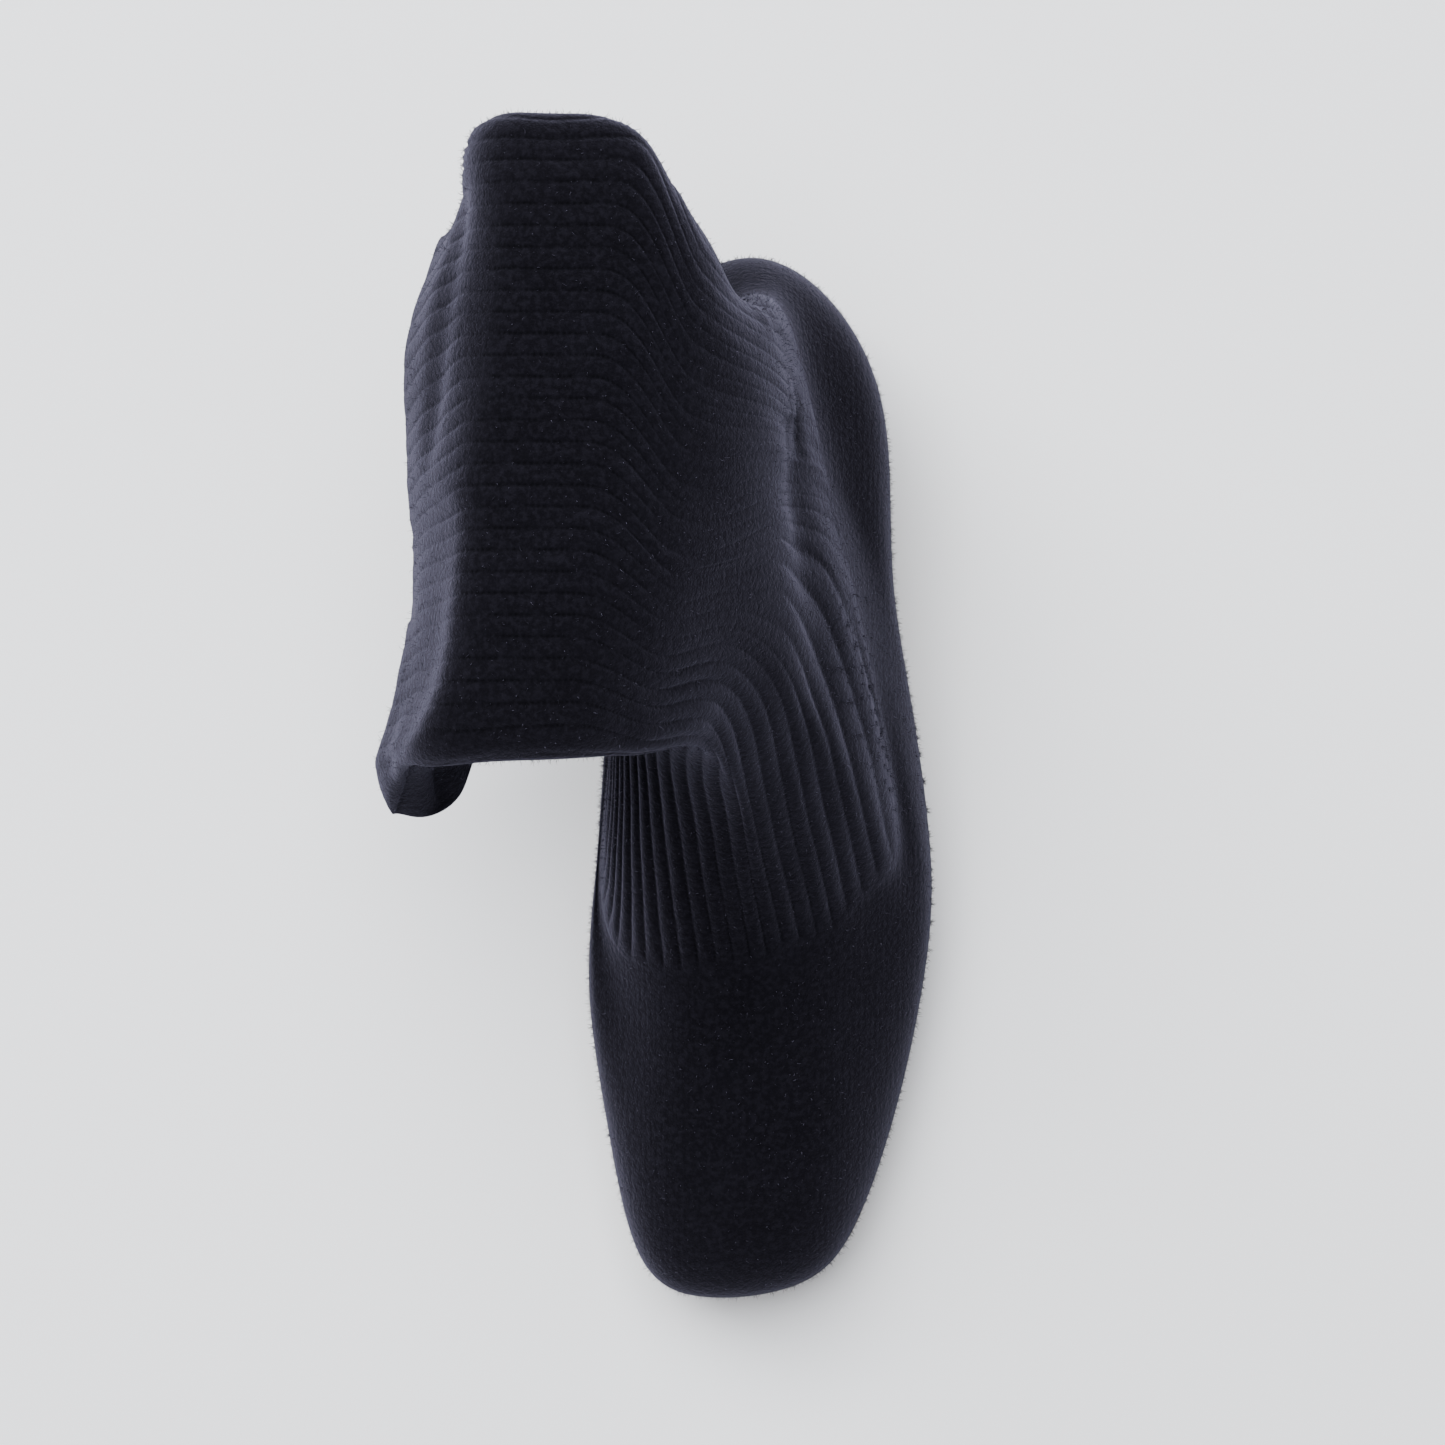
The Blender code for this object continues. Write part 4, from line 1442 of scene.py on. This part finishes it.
@dataclass
class Sole:
    """The thin sole, the heel with its top piece, and the insole."""

    form: BootForm
    columns: int = 384
    heel_columns: int = 220
    breast_columns: int = 40
    heel_rows: int = 7
    corner_round: float = 0.0004
    edge: LeatherFinish = field(
        default_factory=lambda: LeatherFinish("sole leather", (0.30, 0.25, 0.18), (0.62, 0.54, 0.42), 0.55)
    )
    lining: LeatherFinish = field(
        default_factory=lambda: LeatherFinish(
            "insole leather", (0.030, 0.029, 0.034), (0.060, 0.058, 0.064), 0.65
        )
    )
    stack: LeatherFinish = field(
        default_factory=lambda: LeatherFinish(
            "heel leather", (0.012, 0.012, 0.014), (0.035, 0.034, 0.036), 0.42, layers=0.0030
        )
    )
    rubber: RubberFinish = field(default_factory=lambda: RubberFinish("heel rubber"))

    def lifted(self, points: Rows, share: float, extra: float = 0.0) -> Rows:
        """Returns points put on the sole: share 0 is its underside and 1 its top."""
        z = self.form.sole_bottom(points[:, 1]) + share * self.form.sole_thickness + extra
        return np.column_stack([points[:, :2], z])

    def build(self) -> list[bpy.types.Object]:
        """Returns the dressed pieces."""
        return [self.outsole(), self.insole(), self.heel(), self.top_piece()]

    def outsole(self) -> bpy.types.Object:
        """Returns the thin leather sole, its edge set back at the top and rounded below."""
        form = self.form
        ribs = np.arange(self.columns) * RIBS / self.columns
        rows = [
            self.lifted(form.outline(ribs, form.sole_margin + row.out), row.share) for row in SOLE_PROFILE
        ]
        made = self.plate("leather_sole", np.array(rows), ribs)
        Workshop.dress(made, self.edge.material(), Slot.SOLE, ["outsole"])
        return made

    def insole(self) -> bpy.types.Object:
        """Returns the insole, with a soft upper edge."""
        form = self.form
        ribs = np.arange(self.columns) * RIBS / self.columns
        inset = -form.wall - 2.0 * form.clearance
        rows = [
            self.lifted(
                form.outline(ribs, inset + row.out), 1.0, form.clearance + form.insole_thickness * row.share
            )
            for row in INSOLE_PROFILE
        ]
        made = self.plate("leather_insole", np.array(rows), ribs)
        Workshop.dress(made, self.lining.material(), Slot.INSOLE, ["insole"])
        return made

    def plate(self, name: str, rows: Rows, ribs: Rows) -> bpy.types.Object:
        """Makes a closed plate from stacked rings, filled across by strips from side to side.

        Args:
            name: The object's name.
            rows: The rings, from the underside to the top.
            ribs: The rib number of each column.

        Returns:
            The new object.
        """
        made = Workshop.tube(name, rows, ribs, np.arange(len(rows)) * RING_LENGTH, closed=False)
        maker = bmesh.new()
        maker.from_mesh(made.data)
        maker.verts.ensure_lookup_table()
        count = len(ribs)
        for start in (0, (len(rows) - 1) * count):
            loop = [maker.verts[start + i] for i in range(count)]
            for i in range(count // 2):
                corners = [loop[i], loop[i + 1], loop[(count - i - 1) % count], loop[(count - i) % count]]
                kept = [corner for k, corner in enumerate(corners) if corner not in corners[:k]]
                if len(kept) > 2:
                    maker.faces.new(kept)
        bmesh.ops.recalc_face_normals(maker, faces=maker.faces)
        maker.to_mesh(made.data)
        maker.free()
        made.data.shade_smooth()
        Workshop.activate(made)
        bpy.ops.object.shade_smooth_by_angle(angle=EDGE_ANGLE)
        return made

    def heel_ring(self, offset: float, z: float, breast_shift: float = 0.0) -> Rows:
        """Works out a level ring round the heel, closed by a hollow breast.

        Args:
            offset: How far outside the wall's foot it lies.
            z: Its height.
            breast_shift: How far the breast is moved back.

        Returns:
            The ring's points.
        """
        form = self.form
        breast = form.heel_back - form.heel_length + breast_shift
        ribs = np.linspace(0.0, RIBS, form.heel_steps, endpoint=False)
        plan = form.outline(ribs, offset)
        outer = plan[(ribs < RIBS / 2) & (plan[:, 1] > breast)]
        inner = plan[(ribs >= RIBS / 2) & (plan[:, 1] > breast)]
        run = np.concatenate([inner, outer])
        length = np.concatenate([[0.0], np.cumsum(np.linalg.norm(np.diff(run[:, :2], axis=0), axis=1))])
        at = np.linspace(0.0, length[-1], self.heel_columns)
        rim = np.stack([np.interp(at, length, run[:, axis]) for axis in range(2)], axis=-1)
        across = np.linspace(0.0, 1.0, self.breast_columns + 2)[1:-1]
        front = blend(rim[-1], rim[0], across[:, None])
        front[:, 1] += form.breast_hollow * np.sin(pi * across)
        ring = np.concatenate([rim, front])
        return np.column_stack([ring, np.full(len(ring), z)])

    def block(self, name: str, rows: Rows) -> bpy.types.Object:
        """Makes a closed block from level rings, with a small round along its edges.

        Args:
            name: The object's name.
            rows: The rings, from the underside to the top.

        Returns:
            The new object.
        """
        count = rows.shape[1]
        columns = np.linspace(0.0, RIBS, count, endpoint=False)
        made = Workshop.tube(name, rows, columns, np.arange(len(rows)) * RING_LENGTH, closed=False)
        maker = bmesh.new()
        maker.from_mesh(made.data)
        maker.verts.ensure_lookup_table()
        for start in (0, (len(rows) - 1) * count):
            maker.faces.new([maker.verts[start + i] for i in range(count)])
        bmesh.ops.recalc_face_normals(maker, faces=maker.faces)
        maker.to_mesh(made.data)
        maker.free()
        Workshop.bevel(made, self.corner_round)
        bpy.ops.object.shade_smooth_by_angle(angle=EDGE_ANGLE)
        return made

    def heel(self) -> bpy.types.Object:
        """Returns the low block heel."""
        form = self.form
        bottom, top = form.top_piece_thickness + form.clearance, form.heel_height - form.clearance
        rows = []
        for share in np.linspace(0.0, 1.0, self.heel_rows):
            taper = form.heel_taper * (1.0 - share)
            rows.append(self.heel_ring(form.sole_margin - taper, blend(bottom, top, share), taper))
        made = self.block("stacked_heel", np.array(rows))
        Workshop.dress(made, self.stack.material(), Slot.HEEL, ["heel"])
        return made

    def top_piece(self) -> bpy.types.Object:
        """Returns the rubber piece that the heel stands on."""
        form = self.form
        offset = form.sole_margin - form.heel_taper
        rows = [self.heel_ring(offset, z, form.heel_taper) for z in (0.0, form.top_piece_thickness)]
        made = self.block("rubber_top_piece", np.array(rows))
        Workshop.dress(made, self.rubber.material(), Slot.RUBBER, ["heel_top_piece"])
        return made


@dataclass
class Studio:
    """A pale floor, soft light and the camera straight above."""

    camera_place: Place = (-0.00806, -0.0831, 1.05)
    field_width: float = 0.3584
    sensor: float = 36.0
    far_end: float = 50.0
    aim: Place = (0.0, -0.08, 0.05)
    floor_size: float = 8.0
    floor_colour: Colour = (0.90, 0.915, 0.95)
    floor_roughness: float = 0.9
    floor_specular: float = 0.2
    sky_colour: Colour = (0.95, 0.96, 1.0)
    sky_low: float = 0.10
    sky_high: float = 0.60
    sky_top: float = 0.9
    lamps: tuple[Lamp, ...] = (
        Lamp("overhead", (-0.6, 1.1, 2.4), 2.6, 196.0),
        Lamp("side", (-1.6, 1.5, 1.05), 1.5, 34.0),
    )

    def build(self) -> None:
        """Sets up the floor, the lights and the camera."""
        self.floor()
        self.sky()
        for lamp in self.lamps:
            self.soft_light(lamp)
        self.camera()

    def floor(self) -> None:
        """Lays the floor."""
        Workshop.deselect()
        bpy.ops.mesh.primitive_plane_add(size=self.floor_size)
        made = bpy.context.object
        made.name = "floor"
        recipe = Recipe("floor")
        recipe.shader.inputs["Base Color"].default_value = (*self.floor_colour, 1.0)
        recipe.even(roughness=self.floor_roughness, specular_ior_level=self.floor_specular)
        made.data.materials.append(recipe.material)

    def sky(self) -> None:
        """Lights the scene softly from all round, least along the horizon."""
        world = bpy.data.worlds.new("studio")
        world.use_nodes = True
        back = world.node_tree.nodes["Background"]
        back.inputs["Color"].default_value = (*self.sky_colour, 1.0)
        place = world.node_tree.nodes.new("ShaderNodeTexCoord")
        parts = world.node_tree.nodes.new("ShaderNodeSeparateXYZ")
        spread = world.node_tree.nodes.new("ShaderNodeMapRange")
        ranges = {"From Min": 0.0, "From Max": self.sky_top, "To Min": self.sky_low, "To Max": self.sky_high}
        for name, value in ranges.items():
            spread.inputs[name].default_value = value
        world.node_tree.links.new(place.outputs["Generated"], parts.inputs[0])
        world.node_tree.links.new(parts.outputs[2], spread.inputs["Value"])
        world.node_tree.links.new(spread.outputs["Result"], back.inputs["Strength"])
        bpy.context.scene.world = world

    def soft_light(self, lamp: Lamp) -> None:
        """Hangs a square soft light that faces the boot.

        Args:
            lamp: Its name, place, side and power.
        """
        light = bpy.data.lights.new(lamp.name, "AREA")
        light.shape = "SQUARE"
        light.size = lamp.size
        light.energy = lamp.power
        made = bpy.data.objects.new(lamp.name, light)
        made.location = lamp.place
        made.rotation_euler = (Vector(self.aim) - Vector(lamp.place)).to_track_quat("-Z", "Y").to_euler()
        bpy.context.scene.collection.objects.link(made)

    def camera(self) -> None:
        """Puts the camera straight above, with the toe at the bottom of the picture."""
        lens = bpy.data.cameras.new("camera")
        lens.sensor_width = self.sensor
        lens.lens = self.sensor * self.camera_place[2] / self.field_width
        lens.clip_end = self.far_end
        made = bpy.data.objects.new("camera", lens)
        made.location = self.camera_place
        bpy.context.scene.collection.objects.link(made)
        bpy.context.scene.camera = made


def main() -> None:
    """Builds the boot and the studio."""
    logging.basicConfig(level=logging.INFO, format="%(name)s: %(message)s")
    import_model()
    form = BootForm()
    Studio().build()
    Sole(form).build()
    shaft, nap = Shaft(form), Nap()
    upper = Upper(form, shaft.seam_lines())
    upper.build()
    shaft.build()
    nap.build("foot_fibres", upper.face, upper.normals, FOOT_FIBRES, Slot.FELT)
    nap.build("shaft_fibres", shaft.face, shaft.normals, SHAFT_FIBRES, Slot.RIBBED)
    LOG.info("sizes written")


if __name__ == "__main__":
    main()
